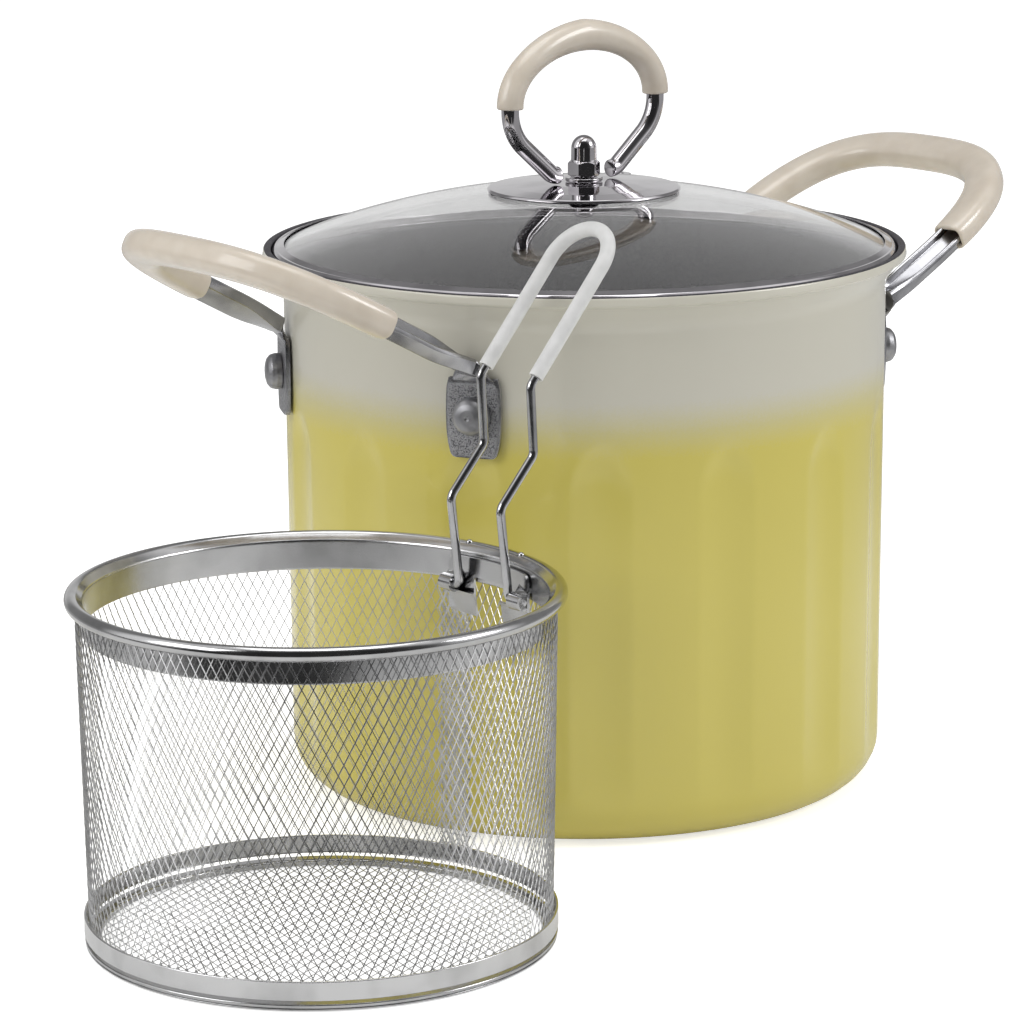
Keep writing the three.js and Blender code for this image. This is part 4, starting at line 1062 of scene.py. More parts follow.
    def arm_stations(self) -> Stations:
        """Lays stations up the rear arm to the loop's middle.

        The strip rolls about its own line by a soft step up the slope and back again under the grip. Its
        groove deepens by a soft step from the bend.

        Returns:
            The stations.
        """
        bend_end = self.bend_line()[-1]
        loop = self.loop(161)[::-1][:81]
        lead = bend_end + (loop[0] - bend_end) * np.linspace(0, 1, 9)[1:-1, None]
        arm = np.vstack([lead, loop])
        _, level, _ = path_frame(arm, self.slope_up)
        foot_x = self.place(0.0, self.half_apart)[0]
        up_slope = (arm[:, 0] - foot_x) / math.cos(math.radians(self.slope))
        rolled = soft_step((up_slope - self.roll_start) / self.roll_run_in)
        rolled *= 1 - soft_step((up_slope - self.roll_back) / self.roll_run_out)
        roll = math.radians(self.roll) * rolled
        across = level * np.cos(roll)[:, None] - self.slope_up * np.sin(roll)[:, None]
        up = self.slope_up * np.cos(roll)[:, None] + level * np.sin(roll)[:, None]
        groove = self.groove * soft_step(along(np.vstack([bend_end, arm]))[1:] / self.groove_run_in)
        return Stations.spread(arm, across, up, self.arm_width, self.arm_thickness, groove)

    def steel(self) -> tuple[Skin, Array]:
        """Carries the strip's section up the rear ear, round the bend and along the arm, and mirrors it.

        Returns:
            The loop's surface, and the share of the struck field at each of its points.
        """
        strip = self.ear_stations() + self.bend_stations() + self.arm_stations()
        wide, thick, groove = self.strip_section().T
        sections = np.stack([strip.half_width[:, None] * wide,
                             strip.half_thick[:, None] * thick - strip.groove[:, None] * groove], -1)
        half = carried(strip.places, strip.across, strip.up, sections)
        face = np.clip((thick - 0.5) * 8, 0, 1) * np.clip((0.93 - np.abs(wide)) * 12, 0, 1)
        share = strip.struck[:, None] * face
        rings = np.concatenate([half, half[-2::-1] * MIRROR_Y])
        return skinned(rings, False), np.r_[share.ravel(), share[-2::-1].ravel(), 0, 0]

    def grip(self) -> Skin:
        """Carries a squared tube over the loop's outer arc, fuller in its middle by sqrt(1 - share squared).

        Returns:
            The grip's surface.
        """
        loop = self.loop(401)
        inside = np.flatnonzero(loop[:, 0] > self.place(self.grip_start, 0.0)[0])
        arc = loop[inside[0] - 1:inside[-1] + 2]
        line = taken_at(arc, np.linspace(0, along(arc)[-1], 141))
        forward = unit(np.gradient(line, axis=0))
        up = np.tile(self.slope_up, (len(line), 1))
        full = np.sqrt(np.clip(1 - np.linspace(-1, 1, len(line)) ** 2, 0, 1))[:, None]
        size = np.array(self.grip_end) + np.array(self.grip_swell) * full
        outer = squircle(48, self.grip_power)[None] * size[:, None] / 2
        room = np.array([self.arm_width + 2 * self.gap, self.arm_thickness + 2 * self.gap])
        bore = squircle(48, self.bore_power) * room / 2
        return hollow_bar(line, unit(np.cross(forward, up)), up, outer, bore)

    def rivet(self, angle: float) -> Skin:
        """Turns a rivet: a flat-domed head with a small dimple, its shank, and a low head inside the pot.

        Args:
            angle: where it stands on the wall, in degrees.

        Returns:
            The rivet's surface.
        """
        inside = self.wall - 1 - self.shell - self.gap
        outside = self.wall + self.gap + self.ear_thickness + self.gap
        head = np.array([[0, 4.75], [0.5, 4.8], [0.85, 5.15], [2.6, 5.0], [4.4, 4.5], [5.7, 3.4], [6.2, 1.7],
                         [6.2, 0]]) + np.array([0, outside])
        low = np.array([[6.2, 0], [5.9, -1.0], [4.4, -1.9], [2.4, -2.45], [0, -2.6]]) + np.array([0, inside])
        top = rounded(head, np.array([0.3, 0.25, 3.0, 1.6, 1.4, 1.2]), 4)
        bottom = rounded(low, np.array([0.6, 2.0, 3.0]), 4)
        profile = np.vstack([top, [[3.0, outside]], [[3.0, inside]], bottom])
        return revolved(profile, 48, closed=False).pointed_outwards(angle, self.rivet_height)

    def dress(self, finishes: Finishes) -> None:
        """Makes the handle's pieces.

        Args:
            finishes: the materials.
        """
        name, turn, rivets = self.side.value
        steel, ear = self.steel()
        make_piece(f"handle_strip_{name}", steel.turned(turn), [finishes.strip], "pot",
                   (f"handle_{name}",), 40, shares={"ear": ear})
        make_piece(f"handle_grip_{name}", self.grip().turned(turn), [finishes.grip], "pot",
                   (f"grip_{name}",), 60)
        for rivet, angle in zip(rivets, (self.ear_angle, -self.ear_angle)):
            make_piece(f"rivet_head_{name}_{rivet}", self.rivet(angle).turned(turn), [finishes.rivet], "pot",
                       (f"rivet_{name}_{rivet}",), 45)


@dataclass
class GlassLid:
    """The glass dome with its steel ring, disc, bow, grip, nut, screw, seal and vent eyelet."""

    ring_radius: float = 106.5
    ring_bottom: float = 180.3
    ring_top: float = 185.3
    sheet: float = 0.7
    glass: float = 3.0
    edge_radius: float = 105.5
    edge_top: float = 184.3
    rise: float = 20.5
    hole: float = 4.2
    vent_from_axis: float = 62.0
    vent_turn: float = 38.0
    vent_radius: float = 3.2
    vent_flange: float = 5.0
    disc_radius: float = 33.0
    disc_thickness: float = 1.1
    bow_wire: float = 6.0
    bow_half: float = 32.6
    bow_foot: float = 11.6
    bow_knee: float = 14.0
    bow_shoulder: float = 19.0
    bow_spring: float = 28.0
    bow_arch: float = 21.1
    grip_end: float = 9.0
    grip_top: float = 9.1
    grip_crest: float = 1.65
    crest_share: float = 0.62
    washer: float = 1.2
    screw_reach: float = 10.2
    seal_thickness: float = 1.6
    gap: float = 0.3

    @property
    def crown(self) -> float:
        """Height of the top of the glass."""
        return self.edge_top + self.rise

    @property
    def disc_top(self) -> float:
        """Height of the disc's upper face at its middle."""
        return self.crown + self.gap + self.disc_thickness

    @property
    def dome_radius(self) -> float:
        """Radius of the sphere whose cap the glass is."""
        return (self.edge_radius ** 2 + self.rise ** 2) / (2 * self.rise)

    def dome(self, radius: Array | float) -> Array:
        """Height of the glass's upper face at a distance from the axis."""
        return self.crown - self.dome_radius + np.sqrt(self.dome_radius ** 2 - np.square(radius))

    def glass_skin(self) -> Skin:
        """Turns the dome: upper face, rounded edge, lower face and the wall of the middle hole.

        Returns:
            The glass's surface.
        """
        rim = self.edge_radius - 0.6
        radius = np.linspace(self.hole + 0.3, rim, 60)
        turn = np.linspace(np.pi / 2, -np.pi / 2, 9)[1:-1]
        edge = np.stack([rim + 0.6 * np.cos(turn),
                         self.dome(rim) - self.glass / 2 + self.glass / 2 * np.sin(turn)], 1)
        hole = np.array([[self.hole, self.dome(self.hole) - self.glass + 0.3],
                         [self.hole, self.dome(self.hole) - 0.3]])
        upper = np.stack([radius, self.dome(radius)], 1)
        return revolved(np.vstack([upper, edge, (upper - np.array([0, self.glass]))[::-1], hole]), 240)

    def ring_skin(self) -> Skin:
        """Turns the folded ring: a thin lip on the glass, a rolled outer face with a bead, and a lip below.

        Returns:
            The ring's surface.
        """
        lap = self.edge_radius - 3
        under = self.dome(self.edge_radius) - self.glass - self.gap
        r, low, top = self.ring_radius, self.ring_bottom, self.ring_top
        corners = np.array([
            [lap, under - self.sheet], [r - 0.5, low], [r, low + 0.6], [r, low + 2.0], [r - 0.35, low + 2.3],
            [r, low + 2.6], [r, top - 1.1], [r - 0.9, top], [self.edge_radius - 0.6, top],
            [lap, self.dome(lap) + self.gap + self.sheet], [lap, self.dome(lap) + self.gap],
            [self.edge_radius + 0.3, self.dome(self.edge_radius) + self.gap],
            [self.edge_radius + 0.3, under], [lap, under],
        ])
        radius = np.array([0.25, 0.3, 0.3, 0.2, 0.12, 0.2, 0.5, 0.5, 0.4, 0.25, 0.2, 0.2, 0.2, 0.2])
        return revolved(rounded(corners, radius, 3, True, 0.15), 300)

    def disc_skin(self) -> Skin:
        """Turns the polished disc: a shallow dish with a rolled edge.

        Returns:
            The disc's surface.
        """
        r, top = self.disc_radius, self.disc_top
        low = self.dome(r) + self.gap
        corners = np.array([
            [3.2, self.dome(4.2) + self.gap], [18, self.dome(18) + self.gap], [r - 0.3, low], [r, low + 0.5],
            [r - 0.5, low + 1.25], [25, low + 2.05], [14, top - 0.02], [3.2, top],
        ])
        radius = np.array([0.1, 20, 0.3, 0.35, 0.4, 12, 9, 0.15])
        return revolved(rounded(corners, radius, 8, True, 0.3), 180)

    def bow_line(self) -> tuple[Array, Array]:
        """Draws the wire's middle line in the plane of X and Z; its arch is half an ellipse.

        Returns:
            The whole line, and the arch under the grip.
        """
        low = self.disc_top + self.gap + self.bow_wire / 2
        spring = self.disc_top + self.bow_spring
        side = rounded(np.array([[self.bow_foot, 0, low], [self.bow_knee, 0, low],
                                 [self.bow_half, 0, self.disc_top + self.bow_shoulder],
                                 [self.bow_half, 0, spring]]), np.array([5, 16]), 12)
        angle = np.linspace(0, np.pi, 121)
        arch = np.stack([self.bow_half * np.cos(angle), 0 * angle,
                         spring + self.bow_arch * np.sin(angle)], 1)
        arch = taken_at(arch, np.linspace(0, along(arch)[-1], len(angle)))
        return np.vstack([side[:-1], arch, (side * MIRROR_X)[-2::-1]]), arch

    def grip_skin(self) -> Skin:
        """Carries a tube along the bow's arch that grows to its middle and has a blunt crest on top.

        The crest moves each section's upper half outwards by crest * (1 - |share| / crest_share) ** 1.2.

        Returns:
            The grip's surface.
        """
        _, arch = self.bow_line()
        depth = np.tile(Y_AXIS, (len(arch), 1))
        share = np.abs(np.linspace(-1, 1, len(arch)))
        full = 0.6 * (1 - share ** 2) + 0.4 * (1 - share) ** 1.5
        radius = (self.grip_end + (self.grip_top - self.grip_end) * full) / 2
        outward = unit(np.cross(unit(np.gradient(arch, axis=0)), depth))
        outward *= np.sign((outward * (arch - arch.mean(0))).sum(1))[:, None]
        round_one = circle(40)
        outer = round_one[None] * radius[:, None, None]
        crest = self.grip_crest * np.clip(1 - share / self.crest_share, 0, 1) ** 1.2
        outer[..., 0] += crest[:, None] * soft_step(0.5 + round_one[:, 0] / 2)
        return hollow_bar(arch, outward, depth, outer, round_one * (self.bow_wire / 2 + self.gap))

    def nut_skin(self) -> Skin:
        """Turns the cap nut: a chamfered hexagon that runs into a dome.

        In the hexagon's rows the radius is the smaller of the profile's radius and apothem / cos(angle from
        the nearest flat's middle).

        Returns:
            The nut's surface.
        """
        base = self.disc_top + self.gap + self.washer + self.gap
        apothem, hexagon_top, bore = 4.85, 5.25, 3.3
        turn = np.linspace(0.08, np.pi / 2, 14)
        profile = np.vstack([
            [[0, 8.8], [3.15, 8.8], [3.15, 0.3], [3.4, 0], [4.7, 0], [5.6, 0.75], [5.6, 4.5], [4.85, 5.2],
             [4.5, 5.3], [4.4, 5.7], [4.3, 9.6]],
            np.stack([4.3 * np.cos(turn), 9.7 + 4.4 * np.sin(turn)], 1)])
        angle = np.linspace(0, 2 * np.pi, 96, endpoint=False)
        flat = apothem / np.cos((angle + np.pi / 6) % (np.pi / 3) - np.pi / 6)
        out, up = np.hsplit(densified(profile, 0.22)[1:-1], 2)
        radius = np.where((up < hexagon_top) & (out > bore), np.minimum(out, flat), out)
        tips = np.array([[0, 0, base + profile[0, 1]], [0, 0, base + profile[-1, 1]]])
        return skinned(around_axis(radius, angle, base + up), False, tips)

    @property
    def seal_top(self) -> float:
        """Height of the seal's upper face, below the curve of the glass."""
        return self.crown - self.glass - self.gap - 0.26

    def screw_skin(self) -> Skin:
        """Turns the screw, whose round head lies under the seal.

        Returns:
            The screw's surface.
        """
        head = self.seal_top - self.seal_thickness - self.gap
        end = self.disc_top + self.screw_reach
        corners = np.array([[0.5, head - 3], [4.4, head - 2.9], [6, head - 1.4], [6, head], [2.9, head],
                            [2.9, end], [0.6, end]])
        profile = rounded(corners, np.array([0.6, 0.8, 0.2, 0.1, 0.4]), 4)
        return revolved(np.vstack([[[0, head - 3]], profile, [[0, end]]]), 72, closed=False)

    def eyelet_skin(self) -> Skin:
        """Turns the vent's eyelet and moves it to its place.

        Returns:
            The eyelet's surface.
        """
        tube, flange = self.vent_radius - self.gap, self.vent_flange
        face = self.dome(self.vent_from_axis - flange) + self.gap
        corners = np.array([[tube - self.sheet, face - self.glass], [tube, face - self.glass], [tube, face],
                            [flange, face], [flange, face + self.sheet],
                            [tube - self.sheet, face + self.sheet]])
        turn = math.radians(self.vent_turn)
        skin = revolved(rounded(corners, np.array([0.2, 0.2, 0.1, 0.2, 0.3, 0.5]), 3, closed=True), 60)
        return skin.shifted(self.vent_from_axis * math.cos(turn), self.vent_from_axis * math.sin(turn), 0)

    def dress(self, finishes: Finishes) -> None:
        """Makes the lid's pieces.

        Args:
            finishes: the materials.
        """
        bow, _ = self.bow_line()
        top, seal = self.disc_top, self.seal_top
        steel = (finishes.mirror, "bright_steel")
        washer = flat_ring(3.2, 6.4, top + self.gap, top + self.gap + self.washer, 0.25)
        rows = [
            ("lid_dome", self.glass_skin(), (finishes.glass, "clear_glass"), "lid_glass", 60),
            ("lid_edge_ring", self.ring_skin(), steel, "lid_ring", 35),
            ("lid_handle_disc", self.disc_skin(), steel, "lid_disc", 35),
            ("lid_handle_bow", round_bar(bow, self.bow_wire / 2, Y_AXIS, 32), steel, "lid_bow", 40),
            ("lid_handle_grip", self.grip_skin(), (finishes.grip, "cream_plastic"), "lid_grip", 60),
            ("lid_handle_nut", self.nut_skin(), steel, "lid_cap_nut", 22),
            ("lid_washer", washer, steel, "lid_nut_washer", 40),
            ("lid_screw_head", self.screw_skin(), steel, "lid_screw", 40),
            ("lid_seal_ring", flat_ring(3.2, 8.5, seal - self.seal_thickness, seal, 0.4),
             (finishes.seal, "seal_silicone"), "lid_seal", 40),
            ("lid_vent_collar", self.eyelet_skin(), steel, "lid_vent_eyelet", 40),
        ]
        for name, skin, (finish, slot), node, sharp in rows:
            make_piece(name, skin, [finish], "lid", (node,), sharp)


@dataclass
class DiamondNet:
    """Expanded metal as a net of diamonds whose strands cross on a grid of columns and half rows."""

    columns: int
    half_rows: int
    across: float
    upwards: float
    wrap: bool = False

    def crossings(self) -> tuple[Array, Array]:
        """Column and half row of every crossing; a crossing stands where their sum is even."""
        row = np.repeat(np.arange(self.half_rows + 1), self.columns)
        return 2 * np.tile(np.arange(self.columns), self.half_rows + 1) + row % 2, row

    def neighbour(self, side: int, kept: Array) -> Array:
        """Finds the crossing one half row up and to a side of each crossing.

        Args:
            side: 1 for the right, -1 for the left.
            kept: which crossings the net has.

        Returns:
            The crossings' numbers, or -1 where there is none.
        """
        column, row = self.crossings()
        place = column // 2 + np.where(row % 2 == 0, min(side, 0), max(side, 0))
        if self.wrap:
            place = place % self.columns
        fine = (row < self.half_rows) & kept & (place >= 0) & (place < self.columns)
        target = np.where(fine, (row + 1) * self.columns + np.clip(place, 0, self.columns - 1), -1)
        return np.where(fine & kept[np.maximum(target, 0)], target, -1)

    def build(self, kept: Array | None = None) -> tuple[Array, Array, Array, Array]:
        """Makes the faces of the net.

        Every crossing is a rhombus with a left, lower, right and upper corner, on an outer and an inner
        face. A strand joins two rhombi by a four-sided face on each side, and a wall stands on every edge
        that no strand or rhombus shares.

        Args:
            kept: which crossings the net has, or None for all.

        Returns:
            Column and half row of each point, its side (+1 or -1) and the four-sided faces.
        """
        column, row = self.crossings()
        count = len(column)
        kept = np.ones(count, bool) if kept is None else kept
        point = np.arange(count * 8).reshape(count, 4, 2)
        left, low, right, high = (point[:, k] for k in range(4))
        all_columns = column[:, None] + np.array([-self.across, 0, self.across, 0])
        all_rows = row[:, None] + np.array([0, -self.upwards, 0, self.upwards])
        to_right, to_left = self.neighbour(1, kept), self.neighbour(-1, kept)
        r, s = np.flatnonzero(to_right >= 0), to_right[to_right >= 0]
        p, q = np.flatnonzero(to_left >= 0), to_left[to_left >= 0]
        flat = np.concatenate([
            np.stack([left, low, right, high], 1)[kept],
            np.stack([right[r], low[s], left[s], high[r]], 1),
            np.stack([left[p], high[p], right[q], low[q]], 1),
        ])
        edges = [np.stack([right[r], low[s]], 1), np.stack([left[s], high[r]], 1),
                 np.stack([high[p], right[q]], 1), np.stack([low[q], left[p]], 1)]
        for first, second, tied in ((left, low, s), (low, right, q), (right, high, r), (high, left, p)):
            bare = kept.copy()
            bare[tied] = False
            edges.append(np.stack([first, second], 1)[bare])
        edge = np.concatenate(edges)
        walls = np.stack([edge[:, 1, 0], edge[:, 0, 0], edge[:, 0, 1], edge[:, 1, 1]], 1)
        faces = np.concatenate([flat[:, :, 0], flat[:, ::-1, 1], walls])
        used, faces = np.unique(faces, return_inverse=True)
        side = np.where(used % 2 == 0, 1.0, -1.0)
        return all_columns.ravel()[used // 2], all_rows.ravel()[used // 2], side, faces.reshape(-1, 4)


@dataclass
class WireBasket:
    """The basket: rolled rim, expanded mesh with its lapped seam, foot band and ring, and the bracket."""

    x: float = -184.0
    y: float = -87.0
    height: float = 110.5
    rim_radius: float = 76.5
    rim_roll: float = 2.2
    band_height: float = 12.0
    band_inner: float = 70.78
    sheet: float = 0.8
    stop_radius: float = 1.15
    mesh_top_radius: float = 73.8
    mesh_bottom_radius: float = 71.9
    mesh_bottom: float = 2.3
    mesh_top: float = 108.0
    mesh_thick: float = 0.18
    strand: float = 0.25
    twist: float = -0.13
    around: int = 136
    half_rows: int = 32
    seam_strand: float = 0.62
    seam_columns: int = 4
    seam_turn: float = 14.6
    floor_strand: float = 0.19
    floor_twist: float = 0.1
    floor_cell: Pair = (1.85, 3.6)
    floor_radius: float = 68.4
    floor_turn: float = -40.0
    foot_height: float = 2.0
    foot_line: float = 1.1
    foot_band: float = 6.0
    foot_width: float = 5.0
    hinge_radius: float = 65.11
    hinge_drop: float = 12.5
    knuckle: float = 2.35
    bracket_half: Pair = (20.0, 8.5)
    window_half: Pair = (9.6, 2.4)
    bracket_faces: Pair = (69.4, 70.3)
    bracket_bend: float = 70.0
    leg_half_sheet: float = 0.36
    handle_turn: float = -1.0

    @property
    def hinge(self) -> float:
        """Height of the handle's axis."""
        return self.height - self.hinge_drop

    @property
    def cell(self) -> Pair:
        """Half a diamond's width at mid height, and half its height."""
        rise = (self.mesh_top - self.mesh_bottom) / (self.half_rows + 0.5)
        return math.pi * self.mesh_radius(np.array(50.0)) / self.around, rise

    def mesh_radius(self, height: Array) -> Array:
        """Radius of the mesh sheet's middle at a height; the wall tapers in a straight line."""
        share = (height - self.mesh_bottom) / (self.mesh_top - self.mesh_bottom)
        return self.mesh_bottom_radius + (self.mesh_top_radius - self.mesh_bottom_radius) * share - 0.5

    def strand_reach(self, strand: float, run: float, rise: float) -> Pair:
        """How far a strand's half width reaches across and up at a crossing, as shares of run and rise."""
        slant = math.hypot(run, rise)
        return strand / 2 * slant / rise / run, strand / 2 * slant / run / rise

    def rim_skin(self) -> tuple[Skin, Array]:
        """Turns the rim: a polished round roll, open below its outer side, whose sheet runs down as a band.

        Returns:
            The surface with the two stops, and the number of the finish of each of its four-sided faces.
        """
        sides, roll, top, inner = 360, self.rim_roll, self.height, self.band_inner
        middle = self.rim_radius - roll
        turn = np.linspace(-0.42 * np.pi, 0.8 * np.pi, 40)
        outside = np.stack([middle + roll * np.cos(turn), top - roll + roll * np.sin(turn)], 1)
        low = top - self.band_height
        corners = np.array([outside[-1], [inner, top - 2.6], [inner, low], [inner + self.sheet, low],
                            [inner + self.sheet, top - 3.2], [middle - 0.3, top - 1.9],
                            [middle + 0.6, top - 2.6], outside[0] + np.array([-0.5, 0.35])])
        band = rounded(corners, np.array([1.2, 0.3, 0.3, 0.8, 0.8, 0.4]), 7, brace=0.3)
        skin = joined([revolved(np.vstack([outside, band[1:]]), sides), *self.stop_skins()])
        finish = np.zeros(len(skin.quads), int)
        # The dull rolled face of the band starts two rings below the roll and ends at its lower edge.
        finish[(len(outside) + 2) * sides:(len(outside) + 15) * sides] = 1
        return skin, finish

    def stop_skins(self) -> list[Skin]:
        """Makes the two small stops that are pressed up from the rim beside the handle's wires.

        Returns:
            Their surfaces.
        """
        middle = (self.band_inner + self.rim_radius) / 2
        turn = np.linspace(-np.pi / 2, np.pi / 2, 11)
        ball = revolved(self.stop_radius * np.stack([np.cos(turn), np.sin(turn)], 1), 20, closed=False)
        return [ball.shifted(middle, 0, self.height - 0.5).turned(
            self.handle_turn + math.degrees((side * 12.3 + 3.4) / middle)) for side in (-1, 1)]

    def on_wall(self, net: DiamondNet, right: float = 0.0, up: float = 0.0, inwards: float = 0.0) -> Skin:
        """Lays a net on the wall: angle = column * half a diamond, height = half row * half a diamond.

        Each crossing's upper corner lies a little in and its lower one out, as in a twisted strand.

        Args:
            net: the net.
            right: columns that it is moved by.
            up: half rows that it is moved by.
            inwards: distance that it is moved towards the axis.

        Returns:
            The surface.
        """
        column, row, side, faces = net.build()
        column, row = column + right, row + up
        height = np.clip(self.mesh_bottom + self.cell[1] * (row + 0.25), self.mesh_bottom, self.mesh_top)
        tilt = self.twist * np.sign(row - np.round(row))
        radius = self.mesh_radius(height) + side * self.mesh_thick / 2 + tilt - inwards
        return Skin(around_axis(radius, column * np.pi / self.around, height), faces)

    def wall_skin(self) -> Skin:
        """The mesh wall, closed all the way round."""
        reach = self.strand_reach(self.strand, *self.cell)
        return self.on_wall(DiamondNet(self.around, self.half_rows, *reach, wrap=True))

    def seam_skin(self) -> Skin:
        """Laps the sheet's ends: two strips of a coarser-stranded net just inside the wall, half a cell off.

        Returns:
            The surface.
        """
        reach = self.strand_reach(self.seam_strand, *self.cell)
        net = DiamondNet(self.seam_columns, self.half_rows - 2, *reach)
        first = self.seam_turn / 360 * 2 * self.around - self.seam_columns + 0.5
        return joined([self.on_wall(net, first, 1.45, 0.5), self.on_wall(net, first + 0.45, 0.95, 0.95)])

    def floor_skin(self) -> Skin:
        """Lays the mesh floor: the same kind of net, flat, as far as its crossings lie inside the wall.

        Returns:
            The surface.
        """
        run, rise = self.floor_cell
        columns, rows = int(self.floor_radius / run), int(2 * self.floor_radius / rise)
        net = DiamondNet(columns, rows, *self.strand_reach(self.floor_strand, run, rise))
        all_columns, all_rows = net.crossings()
        kept = np.hypot((all_columns - columns) * run, (all_rows - rows / 2) * rise) < self.floor_radius
        column, row, side, faces = net.build(kept)
        tilt = self.floor_twist * np.sign(row - np.round(row))
        height = self.mesh_bottom + 0.45 + side * self.mesh_thick / 2 + tilt
        flat = Skin(np.stack([(column - columns) * run, (row - rows / 2) * rise, height], 1), faces)
        return flat.turned(self.floor_turn)

    def foot_skins(self) -> tuple[Skin, Skin]:
        """Turns the band round the mesh's lower end and the rounded, grooved ring under it.

        Returns:
            The two surfaces.
        """
        low = self.foot_height + self.foot_line
        high = low + self.foot_band
        inner = self.mesh_radius(np.array(high)) + 0.8
        outer = inner + self.sheet
        band = np.array([[inner, low], [outer, low], [outer, high], [inner, high]])
        foot, width, top = self.mesh_bottom_radius + 1.1, self.foot_width, self.foot_height
        ring = np.array([[foot - width, 0], [foot - 0.15, 0], [foot - 0.15, 0.55], [foot - 0.6, 0.68],
                         [foot - 0.6, 0.85], [foot, 1.0], [foot, top], [foot - width, top]])
        edge = np.array([0.5, 0.3, 0.12, 0.06, 0.06, 0.12, 0.4, 0.5])
        return (revolved(rounded(band, np.array([0.25, 0.3, 0.3, 0.25]), 5, True, 0.3), 300),
                revolved(rounded(ring, edge, 5, True, 0.2), 300))

    def plate_skin(self) -> Skin:
        """Rules the bracket's arched plate from its outline to its window's, and bends it round the axis.

        Returns:
            The surface.
        """
        (wide, tall), (open_wide, open_tall) = self.bracket_half, self.window_half
        outline = rounded(np.array([[-wide, -tall], [-wide, tall], [wide, tall], [wide, -tall]]), 3.2, 8)
        window = rounded(np.array([[-open_wide, -tall], [-open_wide, open_tall], [open_wide, open_tall],
                                   [open_wide, -tall]]), 1.6, 8)
        place = np.arange(len(outline))
        # Points are added after points 0, 9 and 18, so that the straight sides follow the bend.
        fine = np.sort(np.r_[place, np.linspace(0, 1, 9)[1:-1], 9 + np.linspace(0, 1, 15)[1:-1],
                             18 + np.linspace(0, 1, 9)[1:-1]])
        outline, window = (np.stack([np.interp(fine, place, line[:, k]) for k in range(2)], 1)
                           for line in (outline, window))
        share = np.linspace(0, 1, 6)[:, None, None]
        face = (outline * (1 - share) + window * share).transpose(1, 0, 2)
        angle, height = face[..., 0] / self.bracket_bend, self.hinge + face[..., 1]
        front, rear = (around_axis(radius, angle, height) for radius in self.bracket_faces)
        return skinned(np.concatenate([front, rear[:, ::-1]], 1), False)

    def bracket_skins(self) -> list[Skin]:
        """Makes the bracket: the plate, and on each leg a roll round the wire and a tab below it.

        Each roll and tab is the sheet's own section, its middle line moved to both sides, carried sideways.

        Returns:
            The surfaces.
        """
        hinge, skins = self.hinge, [self.plate_skin()]
        turn = np.linspace(math.radians(62), math.radians(298), 22)
        centre = np.array([self.hinge_radius, hinge])
        roll = centre + self.knuckle * np.stack([np.cos(turn), np.sin(turn)], 1)
        over = np.vstack([[[69.1, hinge + 5.6]], [[67.4, hinge + 3.1]], roll])
        tab = np.array([roll[-1], [67.0, hinge - 3.4], [67.3, hinge - 5.8], [67.9, hinge - 9.6]])
        for middle, start, end in ((rounded(over, 0.3, 2), 14.3, 19.9), (rounded(tab, 0.8, 5), 6.6, 19.9)):
            slope = unit(np.gradient(middle, axis=0))
            aside = np.stack([-slope[:, 1], slope[:, 0]], 1) * self.leg_half_sheet
            out, up = np.vstack([middle + aside, (middle - aside)[::-1]]).T
            for side in (-1, 1):
                reach = np.linspace(start, end, 5)[:, None] * side
                skins.append(skinned(np.stack(np.broadcast_arrays(out, reach, up), -1), False))
        return skins

    def at_basket(self, skin: Skin, turn: float = 0.0) -> Skin:
        """Turns a surface about the basket's axis and moves it to where the basket stands."""
        return skin.turned(turn).shifted(self.x, self.y, 0)

    def dress(self, finishes: Finishes) -> None:
        """Makes the basket's pieces.

        Args:
            finishes: the materials.
        """
        band, ring = self.foot_skins()
        rim, rim_finish = self.rim_skin()
        make_piece("basket_rolled_rim", self.at_basket(rim), [finishes.sheet, finishes.band], "basket",
                   ("basket_rim",), 40, rim_finish)
        net = (finishes.net, "mesh_steel")
        bracket = joined(self.bracket_skins()).turned(self.handle_turn)
        rows = [
            ("basket_net_wall", self.wall_skin(), net, ("basket_mesh_wall",), 30),
            ("basket_net_seam", self.seam_skin(), net, (), 30),
            ("basket_net_floor", self.floor_skin(), net, ("basket_mesh_floor",), 30),
            ("basket_foot_hoop", band, (finishes.band, "basket_steel"), ("basket_foot_band",), 40),
            ("basket_foot_roll", ring, (finishes.sheet, "basket_steel"), ("basket_foot_ring",), 40),
            ("basket_hinge_bracket", bracket, (finishes.sheet, "basket_steel"), ("basket_bracket",), 40),
        ]
        for name, skin, (finish, slot), nodes, sharp in rows:
            make_piece(name, self.at_basket(skin), [finish], "basket", nodes, sharp)


